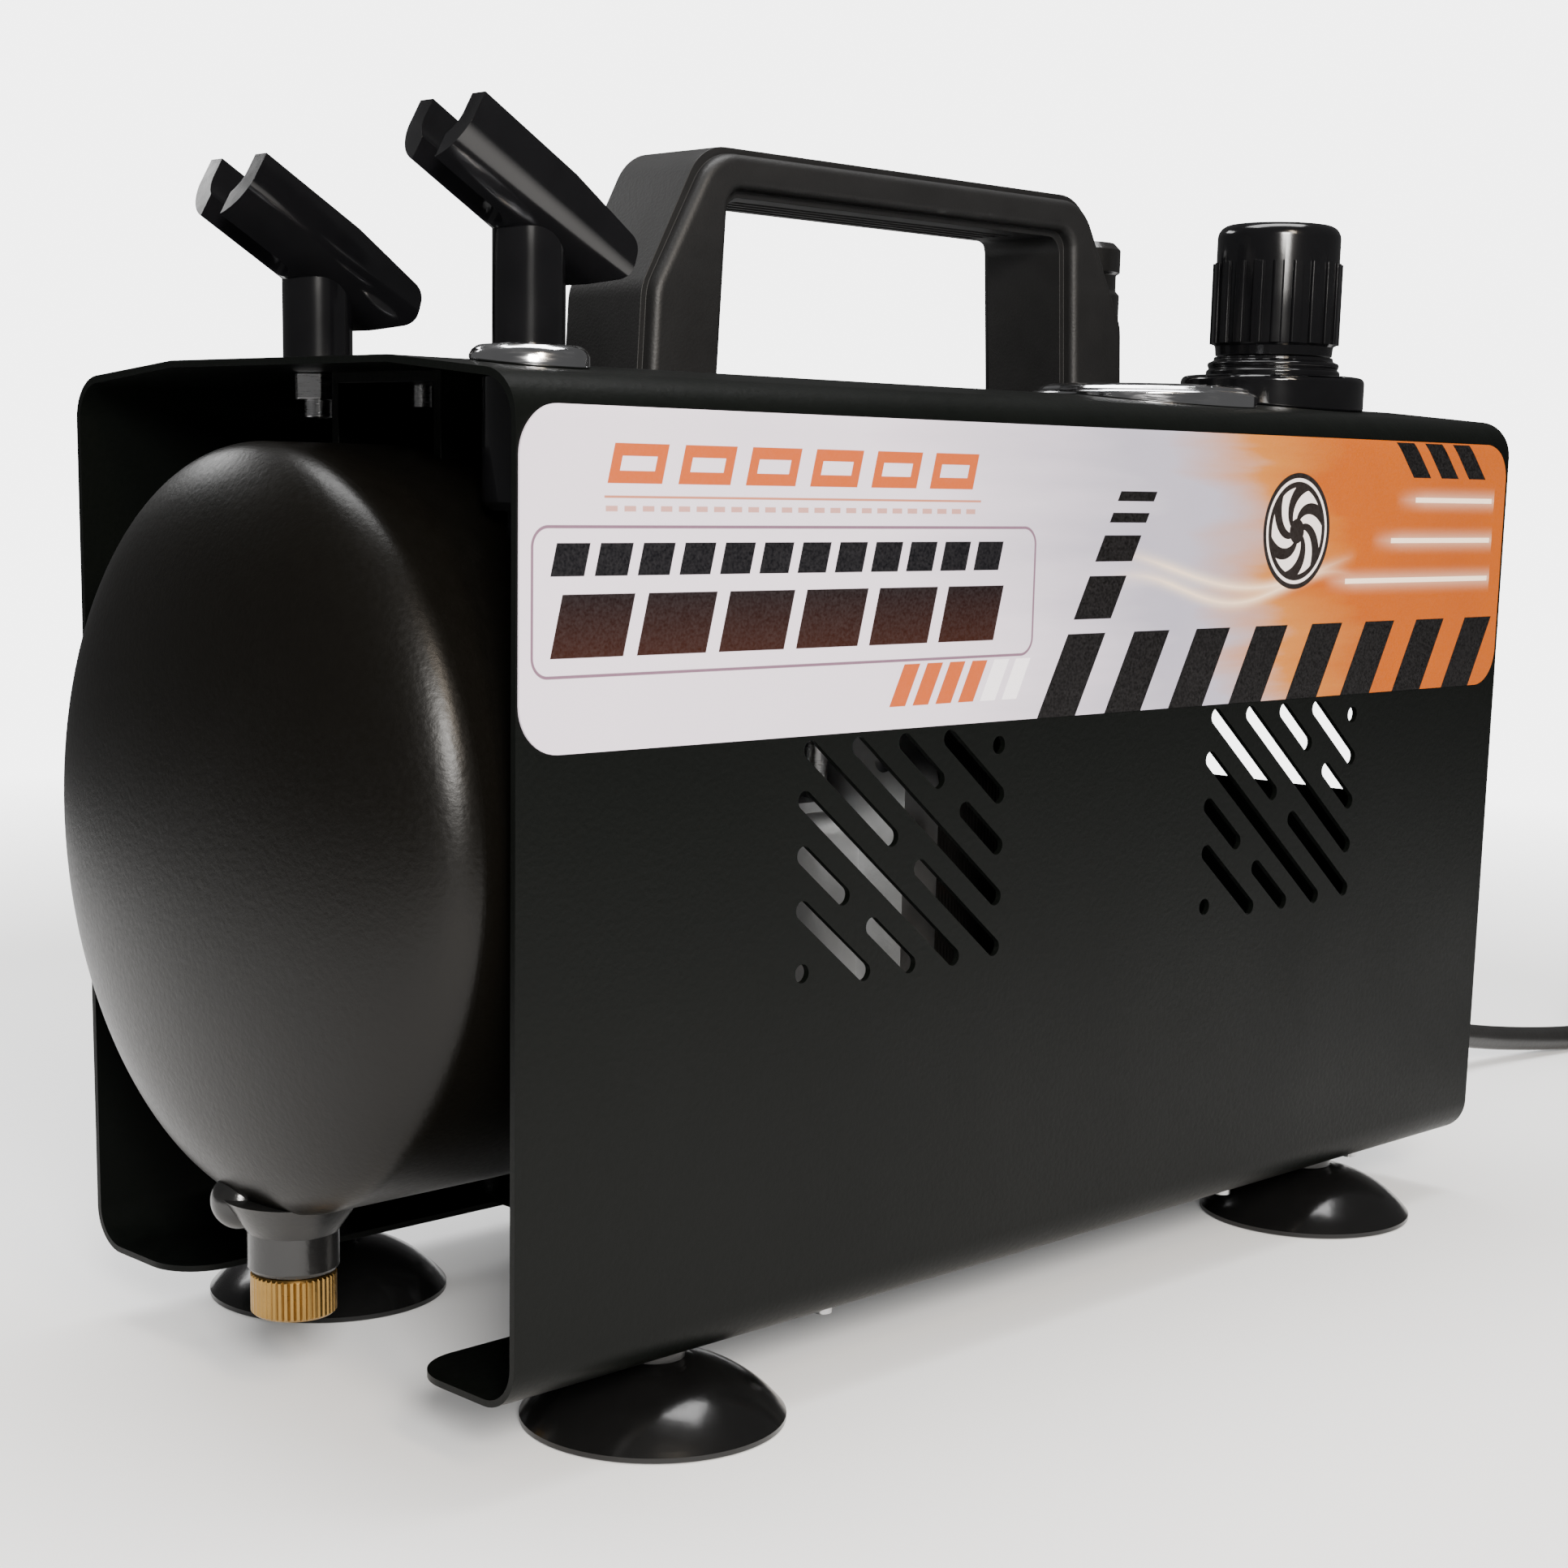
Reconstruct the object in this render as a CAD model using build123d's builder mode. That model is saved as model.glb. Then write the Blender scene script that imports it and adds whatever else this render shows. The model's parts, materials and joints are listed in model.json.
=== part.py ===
"""Airbrush compressor: open-ended sheet cover, air tank, piston pump, regulator, gauge and cord.

Units are millimetres. +Z is up and z = 0 is the surface that the suction feet stand on.
+X runs along the cover from the tank end to the cord end, and -Y is the labelled side.
The origin is below the middle of the machine, on the floor.
"""

import os
from math import cos, pi, radians, sin, tan

from build123d import *

os.makedirs("parts", exist_ok=True)

# ---------------------------------------------------------------- driving dimensions
GAP = 0.3                 # clearance between pieces that move past each other
FIT = 0.05                # radial running clearance of shafts and pins

# cover: one folded sheet, open at both ends
COVER_LENGTH = 292.0
COVER_WIDTH = 130.0
COVER_HEIGHT = 170.0
COVER_X = 11.0            # middle of the cover
FOOT_HEIGHT = 14.5        # floor to the cover's underside
SHEET = 1.2
FLANGE = 30.0             # inward bottom flange
CROWN_HALF = 32.0         # flat middle of the roof, each side
CROWN_DROP = 2.95         # fall of the roof from there to the side's plane
TOP_BEND = 8.0
BOTTOM_BEND = 8.0

# vents: two windows of slanting slots in each side
VENT_LEFT = -72.0
VENT_WIDTH = 54.0
VENT_HEIGHT = 43.0
VENT_BOTTOM = 78.0
VENT_SPACING = 118.0
SLOT_WIDTH = 3.4
SLOT_PITCH = 12.05
SLOT_ANGLE = 38.8
SLOT_BREAK = 2.6          # half the length of the bridge in a broken slot

# tank: oval section, shallow dished ends
TANK_RY = 60.4
TANK_RZ = 67.1
TANK_Z = 103.5
TANK_WALL = 1.8
TANK_FRONT_X = -137.0     # where the front dome begins
TANK_REAR_X = -97.0
TANK_SEAM_X = -117.0
FRONT_DOME = 20.0
REAR_DOME = 17.0
DRAIN_X = -133.3
DRAIN_BORE = 3.0
DRAIN_KNOB_R = 7.7
DRAIN_KNOB_Z = 16.6
DRAIN_KNOB_H = 7.7

# feet and floor fasteners
FOOT_X = 102.0            # from the cover's middle
FOOT_Y = 50.0
FOOT_R = 24.0
STUD_R = 2.4

# handle
HANDLE_X = 17.8
HANDLE_Y = 8.3
HANDLE_THICK = 21.0       # the middle body
HANDLE_PAD = 3.0          # raised pad on each face
HANDLE_FOOT = 73.0        # outer half width at the roof
HANDLE_SHOULDER = 72.0
HANDLE_SHOULDER_H = 17.0
HANDLE_CORNER = 57.0
HANDLE_HEIGHT = 44.2
HANDLE_GAP_LOW = 52.8     # half width of the finger gap at the roof
HANDLE_GAP_HIGH = 50.6
HANDLE_GAP_H = 35.0
HANDLE_SCREW = 63.0

# roof fittings, as (x, y)
GAUGE = (64.7, -30.0)
REGULATOR = (124.2, -21.3)
OUTLET = (108.6, 24.0)
SWITCH = (-112.0, -40.0)
HOLDER_FRONT = (-100.0, -25.0)
HOLDER_REAR = (-108.6, 25.0)
HOLDER_BORE = 2.5

# airbrush holders
POST_R = 6.3
CRADLE_TILT = 30.0
CRADLE_UP = 26.0          # from the post's axis to the upper end, along the cradle
CRADLE_DOWN = 13.8
CRADLE_WIDTH = 17.4
CRADLE_HEIGHT = 12.6
CHANNEL_WIDTH = 10.4
FRONT_CRADLE_Z = 203.0    # underside of the cradle at its post
REAR_CRADLE_Z = 196.0

# regulator
NECK_R = 15.0
PANEL_NUT_R = 21.0
PANEL_NUT_H = 7.0
KNOB_R = 14.0
KNOB_BOTTOM = 196.2
KNOB_TOP = 225.4
KNOB_RIBS = 20
PORT_Z = 136.0

# pump and motor: the shaft runs along X
SHAFT_Z = 78.0
SHAFT_R = 4.0
STACK_SIZE = 80.0
STACK_LEFT = -8.0
STACK_RIGHT = 44.0
BORE_R = 22.3
CYLINDER_X = -42.5
CYLINDER_R = 14.0
THROW = 6.0
CASE_LEFT = -64.0
CASE_TOP = 104.0
SLEEVE_TOP = 128.0
HEAD_TOP = 156.0
BEARING_R = 9.5

# base plate and mounts
PLATE_LEFT = -60.0
PLATE_RIGHT = 92.0
PLATE_T = 1.5
MOUNT_R = 8.0
MOUNT_H = 12.8
MOUNT_Y = 26.0
MOUNT_X = (-32.0, 56.0)

# mains cord
CORD_R = 3.5
EXIT_X = 155.0
EXIT_Y = 8.0
EXIT_Z = 31.0
COIL_X = 352.0
COIL_Y = -50.0
COIL_MEAN_R = 38.5
COIL_HALF_BAND = 5.7      # from the coil's middle radius to its outermost turn
COIL_LAYERS = 4
PLUG_Z = 13.0

# derived places
COVER_LEFT = COVER_X - COVER_LENGTH / 2
COVER_RIGHT = COVER_X + COVER_LENGTH / 2
HALF_W = COVER_WIDTH / 2
ROOF_Z = FOOT_HEIGHT + COVER_HEIGHT
ROOF_IN = ROOF_Z - SHEET
FLOOR_IN = FOOT_HEIGHT + SHEET
PLATE_TOP = FLOOR_IN + PLATE_T
MOUNT_TOP = PLATE_TOP + MOUNT_H
HANDLE_TOP = ROOF_Z + HANDLE_HEIGHT
FOOT_PLACES = [(COVER_X + sx * FOOT_X, sy * FOOT_Y) for sx in (-1, 1) for sy in (-1, 1)]
HOLDERS = [HOLDER_FRONT, HOLDER_REAR]
MOUNT_PLACES = [(x, y) for x in MOUNT_X for y in (-MOUNT_Y, MOUNT_Y)]
PLATE_SCREWS = [(x, y) for x in (-48.0, 80.0) for y in (-FOOT_Y, FOOT_Y)]
BRACKET_SCREWS = [(-98.0, -8.0), (-98.0, 8.0)]
CORD_BRACKET_X = 129.0
BRACKET_FOOT_SCREWS = [(CORD_BRACKET_X + 2, -FOOT_Y), (CORD_BRACKET_X + 2, FOOT_Y)]

WRITTEN = []


def save(name, solid):
    """Labels a finished piece and writes its STEP file."""
    solid.label = name
    export_step(solid, f"parts/{name}.step")
    WRITTEN.append(name)


def across(x):
    """A sketch plane across the machine at x: local x is Y and local y is Z."""
    return Plane.YZ.offset(x)


# ---------------------------------------------------------------- cover
def cover_outline(inset):
    """The cover's cross-section as a closed face, moved in by inset."""
    half = HALF_W - inset
    low = FOOT_HEIGHT + inset
    with BuildLine() as outline:
        Polyline(
            (-half, low),
            (half, low),
            (half, ROOF_Z - CROWN_DROP - inset),
            (CROWN_HALF, ROOF_Z - inset),
            (-CROWN_HALF, ROOF_Z - inset),
            (-half, ROOF_Z - CROWN_DROP - inset),
            close=True,
        )
    made = make_face(outline.edges())
    made = fillet(made.vertices().group_by(Axis.Y)[0], BOTTOM_BEND - inset)
    top_bends = [v for v in made.vertices() if abs(abs(v.X) - half) < 0.01 and v.Y > TANK_Z]
    fillet(top_bends, TOP_BEND - inset)


def vent_slots(left):
    """One window of slanting slots, clipped to its box, with three bridged ones."""
    slope = 1 / tan(radians(SLOT_ANGLE))
    right = left + VENT_WIDTH
    top = VENT_BOTTOM + VENT_HEIGHT
    reach = SLOT_WIDTH / 2
    along = Vector(cos(radians(SLOT_ANGLE)), -sin(radians(SLOT_ANGLE)))

    def point(start, x):
        return Vector(x, top - (x - start) / slope)

    for number in range(1, 8):
        start = right - 4.6 - number * SLOT_PITCH
        first = max(left, start)
        last = min(right, start + VENT_HEIGHT * slope)
        spans = [(first, last)]
        if number in (2, 4, 6):
            middle = (first + last) / 2
            spans = [(first, middle - SLOT_BREAK), (middle + SLOT_BREAK, last)]
        for low, high in spans:
            ends = [point(start, low) + along * reach, point(start, high) - along * reach]
            middle = (ends[0] + ends[1]) / 2
            with Locations((middle.X, middle.Y)):
                SlotCenterToCenter((ends[1] - ends[0]).length, SLOT_WIDTH, rotation=-SLOT_ANGLE)
    with Locations((right - 1.6, top - 3.0), (left + 1.4, VENT_BOTTOM + 2.6)):
        Circle(reach)


with BuildPart() as cover_block:
    with BuildSketch(across(COVER_LEFT)):
        cover_outline(0)
    extrude(amount=COVER_LENGTH)

with BuildPart() as cover:
    with BuildSketch(across(COVER_LEFT)):
        cover_outline(0)
    extrude(amount=COVER_LENGTH)
    with BuildSketch(across(COVER_LEFT)):
        cover_outline(SHEET)
        with Locations((0, FOOT_HEIGHT)):
            Rectangle(COVER_WIDTH - 2 * FLANGE, 4 * SHEET)
    extrude(amount=COVER_LENGTH, mode=Mode.SUBTRACT)
    # rounded flange corners
    tips = [
        e
        for e in cover.edges().filter_by(Axis.Z)
        if abs(abs(e.center().Y) - (HALF_W - FLANGE)) < 0.01 and e.center().Z < FLOOR_IN
    ]
    fillet(tips, 10)
    with BuildSketch(Plane.XZ):
        for vent_left in (VENT_LEFT, VENT_LEFT + VENT_SPACING):
            vent_slots(vent_left)
    extrude(amount=COVER_WIDTH, both=True, mode=Mode.SUBTRACT)
    # roof holes
    with BuildSketch(Plane.XY.offset(ROOF_Z - 10)):
        with Locations(*HOLDERS):
            Circle(HOLDER_BORE + 0.1)
        with Locations(*BRACKET_SCREWS):
            Circle(2.2)
        with Locations(*[(HANDLE_X + s * HANDLE_SCREW, HANDLE_Y) for s in (-1, 1)]):
            Circle(2.3)
        with Locations(GAUGE):
            Circle(20.2)
        with Locations(REGULATOR):
            Circle(NECK_R + 0.2)
        with Locations(OUTLET):
            Circle(6.2)
        with Locations(SWITCH):
            Circle(8.1)
    extrude(amount=20, mode=Mode.SUBTRACT)
    # floor holes
    with BuildSketch(Plane.XY):
        with Locations(*FOOT_PLACES):
            Circle(STUD_R + 0.1)
        with Locations(*PLATE_SCREWS, *BRACKET_FOOT_SCREWS):
            Circle(2.2)
    extrude(amount=FLOOR_IN + 5, mode=Mode.SUBTRACT)
save("cover", cover.part)

LABEL_BOTTOM = 122.5
LABEL_TOP = 176.9         # just round the start of the top bend
LABEL_T = 0.35
with BuildPart() as front_label:
    with BuildSketch(Plane.XZ.offset(HALF_W - 8)):
        with Locations((COVER_X - 0.5, (LABEL_BOTTOM + LABEL_TOP) / 2)):
            RectangleRounded(COVER_LENGTH - 1.8, LABEL_TOP - LABEL_BOTTOM, 8)
    extrude(amount=16)
    with BuildSketch(across(COVER_LEFT)):
        cover_outline(-LABEL_T)
    extrude(amount=COVER_LENGTH, mode=Mode.INTERSECT)
    add(cover_block.part, mode=Mode.SUBTRACT)
save("front_label", front_label.part)


# ---------------------------------------------------------------- tank
TANK_AXIS = Axis((0, 0, TANK_Z), (1, 0, 0))


def tank_half(seam, dome_x, depth, side):
    """Half profile of one dished shell, from the seam to the tip of its dome."""
    with BuildLine() as profile:
        EllipticalCenterArc(
            (dome_x, TANK_Z), depth, TANK_RZ, start_angle=90 if side < 0 else 0, arc_size=90
        )
        EllipticalCenterArc(
            (dome_x, TANK_Z),
            depth - TANK_WALL,
            TANK_RZ - TANK_WALL,
            start_angle=90 if side < 0 else 0,
            arc_size=90,
        )
        Line((seam, TANK_Z + TANK_RZ), (dome_x, TANK_Z + TANK_RZ))
        Line((seam, TANK_Z + TANK_RZ - TANK_WALL), (dome_x, TANK_Z + TANK_RZ - TANK_WALL))
        Line((seam, TANK_Z + TANK_RZ), (seam, TANK_Z + TANK_RZ - TANK_WALL))
        tip = dome_x + side * depth
        Line((tip, TANK_Z), (tip - side * TANK_WALL, TANK_Z))
    make_face(profile.edges())


with BuildPart() as tank_block:
    with BuildSketch(Plane.XZ):
        with BuildLine():
            EllipticalCenterArc((TANK_FRONT_X, TANK_Z), FRONT_DOME, TANK_RZ, start_angle=90, arc_size=90)
            Line((TANK_FRONT_X, TANK_Z + TANK_RZ), (TANK_REAR_X, TANK_Z + TANK_RZ))
            EllipticalCenterArc((TANK_REAR_X, TANK_Z), REAR_DOME, TANK_RZ, start_angle=0, arc_size=90)
            Line((TANK_FRONT_X - FRONT_DOME, TANK_Z), (TANK_REAR_X + REAR_DOME, TANK_Z))
        make_face()
    revolve(axis=TANK_AXIS)
    scale(by=(1, TANK_RY / TANK_RZ, 1), mode=Mode.REPLACE)

with BuildPart() as tank_front_shell:
    with BuildSketch(Plane.XZ):
        tank_half(TANK_SEAM_X, TANK_FRONT_X, FRONT_DOME, -1)
    revolve(axis=TANK_AXIS)
    scale(by=(1, TANK_RY / TANK_RZ, 1), mode=Mode.REPLACE)
save("tank_front_shell", tank_front_shell.part)

with BuildPart() as tank_rear_shell:
    with BuildSketch(Plane.XZ):
        tank_half(TANK_SEAM_X, TANK_REAR_X, REAR_DOME, 1)
    revolve(axis=TANK_AXIS)
    scale(by=(1, TANK_RY / TANK_RZ, 1), mode=Mode.REPLACE)
save("tank_rear_shell", tank_rear_shell.part)

TANK_LOW = TANK_Z - TANK_RZ
BOSS_BOTTOM = DRAIN_KNOB_Z + DRAIN_KNOB_H + GAP
DRAIN_AXIS = Axis((DRAIN_X, 0, 0), (0, 0, 1))
with BuildPart() as tank_drain_boss:
    with BuildSketch(Plane.XZ):
        with BuildLine():
            Polyline(
                (DRAIN_X + DRAIN_BORE, BOSS_BOTTOM),
                (DRAIN_X + 7.6, BOSS_BOTTOM),
                (DRAIN_X + 8.2, BOSS_BOTTOM + 0.8),
                (DRAIN_X + 8.2, TANK_LOW - 4.5),
                (DRAIN_X + 10.5, TANK_LOW - 1.2),
                (DRAIN_X + 12.5, TANK_LOW + 2.0),
                (DRAIN_X + DRAIN_BORE, TANK_LOW + 2.0),
                close=True,
            )
        make_face()
    revolve(axis=DRAIN_AXIS)
    # lump of weld on the tank's end side
    with Locations((DRAIN_X - 7.2, 6.0, TANK_LOW + 0.8)):
        Sphere(5.2)
    with BuildSketch(Plane.XY.offset(BOSS_BOTTOM)):
        with Locations((DRAIN_X, 0)):
            Circle(DRAIN_BORE)
    extrude(amount=30, mode=Mode.SUBTRACT)
    add(tank_block.part, mode=Mode.SUBTRACT)
save("tank_drain_boss", tank_drain_boss.part)

KNURLS = 44
with BuildPart() as drain_knob:
    with BuildSketch(Plane.XY.offset(DRAIN_KNOB_Z)):
        with Locations((DRAIN_X, 0)):
            Circle(DRAIN_KNOB_R)
    extrude(amount=DRAIN_KNOB_H)
    chamfer(drain_knob.edges().filter_by(GeomType.CIRCLE), 0.5)
    with BuildSketch(Plane.XY.offset(DRAIN_KNOB_Z)):
        with Locations((DRAIN_X, 0)):
            with PolarLocations(DRAIN_KNOB_R + 0.15, KNURLS):
                Rectangle(0.62, 0.62, rotation=45)
    extrude(amount=DRAIN_KNOB_H, mode=Mode.SUBTRACT)
    with BuildSketch(Plane.XY.offset(DRAIN_KNOB_Z + DRAIN_KNOB_H)):
        with Locations((DRAIN_X, 0)):
            Circle(DRAIN_BORE - FIT)
    extrude(amount=9)
save("drain_knob", drain_knob.part)

# welded channel that hangs the tank from the roof
with BuildPart() as tank_bracket:
    with BuildSketch(across(-112)):
        with Locations((0, ROOF_IN - 10)):
            Rectangle(32, 20)
        with Locations((0, ROOF_IN - 2 - 10)):
            Rectangle(28, 20, mode=Mode.SUBTRACT)
    extrude(amount=27)
    add(tank_block.part, mode=Mode.SUBTRACT)
    with BuildSketch(Plane.XY.offset(ROOF_IN - 2)):
        with Locations(*BRACKET_SCREWS):
            Circle(1.9)
    extrude(amount=2, mode=Mode.SUBTRACT)
save("tank_bracket", tank_bracket.part)

TANK_PORTS = [(-44.0, 130.0), (44.0, 120.0)]      # (y, z) on the rear dome
with BuildPart() as tank_fittings:
    for port_y, port_z in TANK_PORTS:
        with BuildSketch(across(-92)):
            with Locations((port_y, port_z)):
                Circle(5)
        extrude(amount=10)
        with BuildSketch(across(-82.5)):
            with Locations((port_y, port_z)):
                RegularPolygon(7, 6)
        extrude(amount=5)
        with BuildSketch(across(-77.5)):
            with Locations((port_y, port_z)):
                Circle(4.4)
        extrude(amount=1.5)
    add(tank_block.part, mode=Mode.SUBTRACT)
save("tank_fittings", tank_fittings.part)


# ---------------------------------------------------------------- airbrush holders
def make_holder(place, height):
    """A post that turns on its stud, under a tilted, slotted trough."""
    x, y = place
    up, out = sin(radians(CRADLE_TILT)), cos(radians(CRADLE_TILT))
    side_plane = Plane(origin=(x, y, height), x_dir=(-out, 0, up), z_dir=(0, 1, 0))
    section_plane = Plane(origin=(x, y, height), x_dir=(0, -1, 0), z_dir=(-out, 0, up))
    floor_plane = Plane(origin=(x, y, height), x_dir=(-out, 0, up), z_dir=(up, 0, out))
    half = CRADLE_WIDTH / 2
    groove = CHANNEL_WIDTH / 2
    floor = 4.0
    with BuildPart() as holder:
        with BuildSketch(side_plane):
            with BuildLine():
                Polyline(
                    (CRADLE_UP, 0),
                    (CRADLE_UP, CRADLE_HEIGHT),
                    (3.5, CRADLE_HEIGHT),
                    (-CRADLE_DOWN, CRADLE_HEIGHT - 1.6),
                    (-CRADLE_DOWN - 1.5, 5.0),
                    (-CRADLE_DOWN + 4, 0),
                    close=True,
                )
            made = make_face()
            low = made.vertices().group_by(Axis.X)
            fillet(low[0] + low[1] + low[2], 3.0)
        extrude(amount=half, both=True)
        with BuildSketch(section_plane.offset(-60)):
            with BuildLine():
                Polyline((-half, 7.5), (-half, CRADLE_HEIGHT), (half, CRADLE_HEIGHT), (half, 7.5))
                ThreePointArc((-half, 7.5), (0, 0), (half, 7.5))
            make_face()
        extrude(amount=120, mode=Mode.INTERSECT)
        with BuildSketch(Plane.XY.offset(ROOF_Z + GAP)):
            with Locations(place):
                Circle(POST_R)
        extrude(amount=height + 4 - ROOF_Z - GAP)
        # the open channel, closed at its lower end
        with BuildSketch(section_plane.offset(-CRADLE_DOWN + 6)):
            with BuildLine():
                Polyline((-groove, 9), (-groove, 30), (groove, 30), (groove, 9))
                ThreePointArc((-groove, 9), (0, floor), (groove, 9))
            make_face()
        extrude(amount=80, mode=Mode.SUBTRACT)
        # slot through the floor, from the upper end to the post
        with BuildSketch(floor_plane.offset(-8)):
            with Locations((CRADLE_UP, 0)):
                SlotOverall(36, 6.2)
        extrude(amount=16, mode=Mode.SUBTRACT)
        # blind bore for the stud
        with BuildSketch(Plane.XY.offset(ROOF_Z)):
            with Locations(place):
                Circle(HOLDER_BORE + FIT)
        extrude(amount=9.5, mode=Mode.SUBTRACT)
    return holder.part


holder_front = make_holder(HOLDER_FRONT, FRONT_CRADLE_Z)
save("holder_front", holder_front)
holder_rear = make_holder(HOLDER_REAR, REAR_CRADLE_Z)
save("holder_rear", holder_rear)

with BuildPart() as holder_bolts:
    with BuildSketch(Plane.XY.offset(ROOF_IN - 8)):
        with Locations(*HOLDERS):
            Circle(HOLDER_BORE)
    extrude(amount=8 + SHEET + 9)
    with BuildSketch(Plane.XY.offset(ROOF_IN - 4.8)):
        with Locations(*HOLDERS):
            RegularPolygon(4.6, 6)
            Circle(HOLDER_BORE + FIT, mode=Mode.SUBTRACT)
    extrude(amount=4.8)
save("holder_bolts", holder_bolts.part)


# ---------------------------------------------------------------- handle
def handle_outline(inset):
    """The handle as an arch, its sides moved in by inset, standing on the roof."""
    gap_top = ROOF_Z + HANDLE_GAP_H + inset
    low = ROOF_Z
    with BuildLine() as arch:
        Polyline(
            (-HANDLE_FOOT + inset, low),
            (-HANDLE_SHOULDER + inset, low + HANDLE_SHOULDER_H),
            (-HANDLE_CORNER + inset, HANDLE_TOP - inset),
            (HANDLE_CORNER - inset, HANDLE_TOP - inset),
            (HANDLE_SHOULDER - inset, low + HANDLE_SHOULDER_H),
            (HANDLE_FOOT - inset, low),
            (HANDLE_GAP_LOW + inset, low),
            (HANDLE_GAP_HIGH + inset, gap_top),
            (-HANDLE_GAP_HIGH - inset, gap_top),
            (-HANDLE_GAP_LOW - inset, low),
            close=True,
        )
    made = make_face(arch.edges())
    made = fillet([v for v in made.vertices() if v.Y > HANDLE_TOP - inset - 0.1], 10.5)
    made = fillet([v for v in made.vertices() if abs(v.Y - low - HANDLE_SHOULDER_H) < 0.1], 9)
    fillet([v for v in made.vertices() if abs(v.Y - gap_top) < 0.1], 4)


with BuildPart() as handle:
    for face_y, inset, thick in (
        (HANDLE_Y - HANDLE_THICK / 2, 0.0, HANDLE_THICK),
        (HANDLE_Y - HANDLE_THICK / 2 - HANDLE_PAD, 1.3, HANDLE_PAD),
        (HANDLE_Y + HANDLE_THICK / 2, 1.3, HANDLE_PAD),
    ):
        plane = Plane(origin=(HANDLE_X, face_y, 0), x_dir=(1, 0, 0), z_dir=(0, -1, 0))
        with BuildSketch(plane):
            handle_outline(inset)
        extrude(amount=-thick)
    for face in (handle.faces().sort_by(Axis.Y)[0], handle.faces().sort_by(Axis.Y)[-1]):
        fillet([e for e in face.edges() if e.center().Z > ROOF_Z + 0.5], 1.8)
    # finger grooves along the grip
    with BuildSketch(across(HANDLE_X - 42)):
        with Locations(*[(HANDLE_Y + k * 3.4, ROOF_Z + HANDLE_GAP_H) for k in (-1, 0, 1, 2)]):
            Circle(1.1)
    extrude(amount=84, mode=Mode.SUBTRACT)
    with BuildSketch(Plane.XY.offset(ROOF_Z)):
        with Locations(*[(HANDLE_X + s * HANDLE_SCREW, HANDLE_Y) for s in (-1, 1)]):
            Circle(2.1)
    extrude(amount=13, mode=Mode.SUBTRACT)
save("handle", handle.part)

with BuildPart() as handle_screws:
    with BuildSketch(Plane.XY.offset(ROOF_IN - 3)):
        with Locations(*[(HANDLE_X + s * HANDLE_SCREW, HANDLE_Y) for s in (-1, 1)]):
            Circle(4.2)
    extrude(amount=3)
    fillet(handle_screws.edges().group_by(Axis.Z)[0], 1.4)
    with BuildSketch(Plane.XY.offset(ROOF_IN)):
        with Locations(*[(HANDLE_X + s * HANDLE_SCREW, HANDLE_Y) for s in (-1, 1)]):
            Circle(2)
    extrude(amount=SHEET + 12)
save("handle_screws", handle_screws.part)

# ---------------------------------------------------------------- pressure gauge
GAUGE_AXIS = Axis((GAUGE[0], GAUGE[1], 0), (0, 0, 1))
GAUGE_PLANE = Plane.XZ.offset(-GAUGE[1])
CASE_TOP_Z = ROOF_Z + 0.8


def turned(points):
    """A closed profile in the radius and height of the piece that is being turned."""
    with BuildLine() as profile:
        Polyline(*points, close=True)
    make_face(profile.edges())


with BuildPart() as gauge_bezel:
    with BuildSketch(Plane((GAUGE[0], GAUGE[1], 0), x_dir=(1, 0, 0), z_dir=(0, -1, 0))):
        turned(
            [
                (20.0, ROOF_Z - 3),
                (24.0, ROOF_Z - 3),
                (24.0, ROOF_Z + 0.7),
                (23.4, ROOF_Z + 1.2),
                (22.6, ROOF_Z + 1.3),
                (21.9, ROOF_Z + 2.1),
                (20.4, ROOF_Z + 2.6),
                (18.9, ROOF_Z + 2.3),
                (17.6, ROOF_Z + 1.3),
                (17.6, CASE_TOP_Z),
                (20.0, CASE_TOP_Z),
            ]
        )
    revolve(axis=GAUGE_AXIS)
    add(cover_block.part, mode=Mode.SUBTRACT)
save("gauge_bezel", gauge_bezel.part)

with BuildPart() as gauge_case:
    with BuildSketch(Plane((GAUGE[0], GAUGE[1], 0), x_dir=(1, 0, 0), z_dir=(0, -1, 0))):
        turned(
            [
                (0, ROOF_Z - 26),
                (6.0, ROOF_Z - 26),
                (6.0, ROOF_Z - 24),
                (18.6, ROOF_Z - 24),
                (19.8, ROOF_Z - 22.8),
                (19.8, CASE_TOP_Z),
                (18.3, CASE_TOP_Z),
                (18.3, ROOF_Z - 8),
                (0, ROOF_Z - 8),
            ]
        )
    revolve(axis=GAUGE_AXIS)
    with BuildSketch(Plane.XY.offset(ROOF_Z - 32)):
        with Locations(GAUGE):
            RegularPolygon(6.6, 6)
    extrude(amount=6)
    with BuildSketch(Plane.XY.offset(ROOF_Z - 38)):
        with Locations(GAUGE):
            Circle(4.6)
    extrude(amount=6)
save("gauge_case", gauge_case.part)

with BuildPart() as gauge_dial:
    with BuildSketch(Plane.XY.offset(ROOF_Z - 8)):
        with Locations(GAUGE):
            Circle(18.2)
            Circle(1.1, mode=Mode.SUBTRACT)
    extrude(amount=0.8)
save("gauge_dial", gauge_dial.part)

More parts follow.
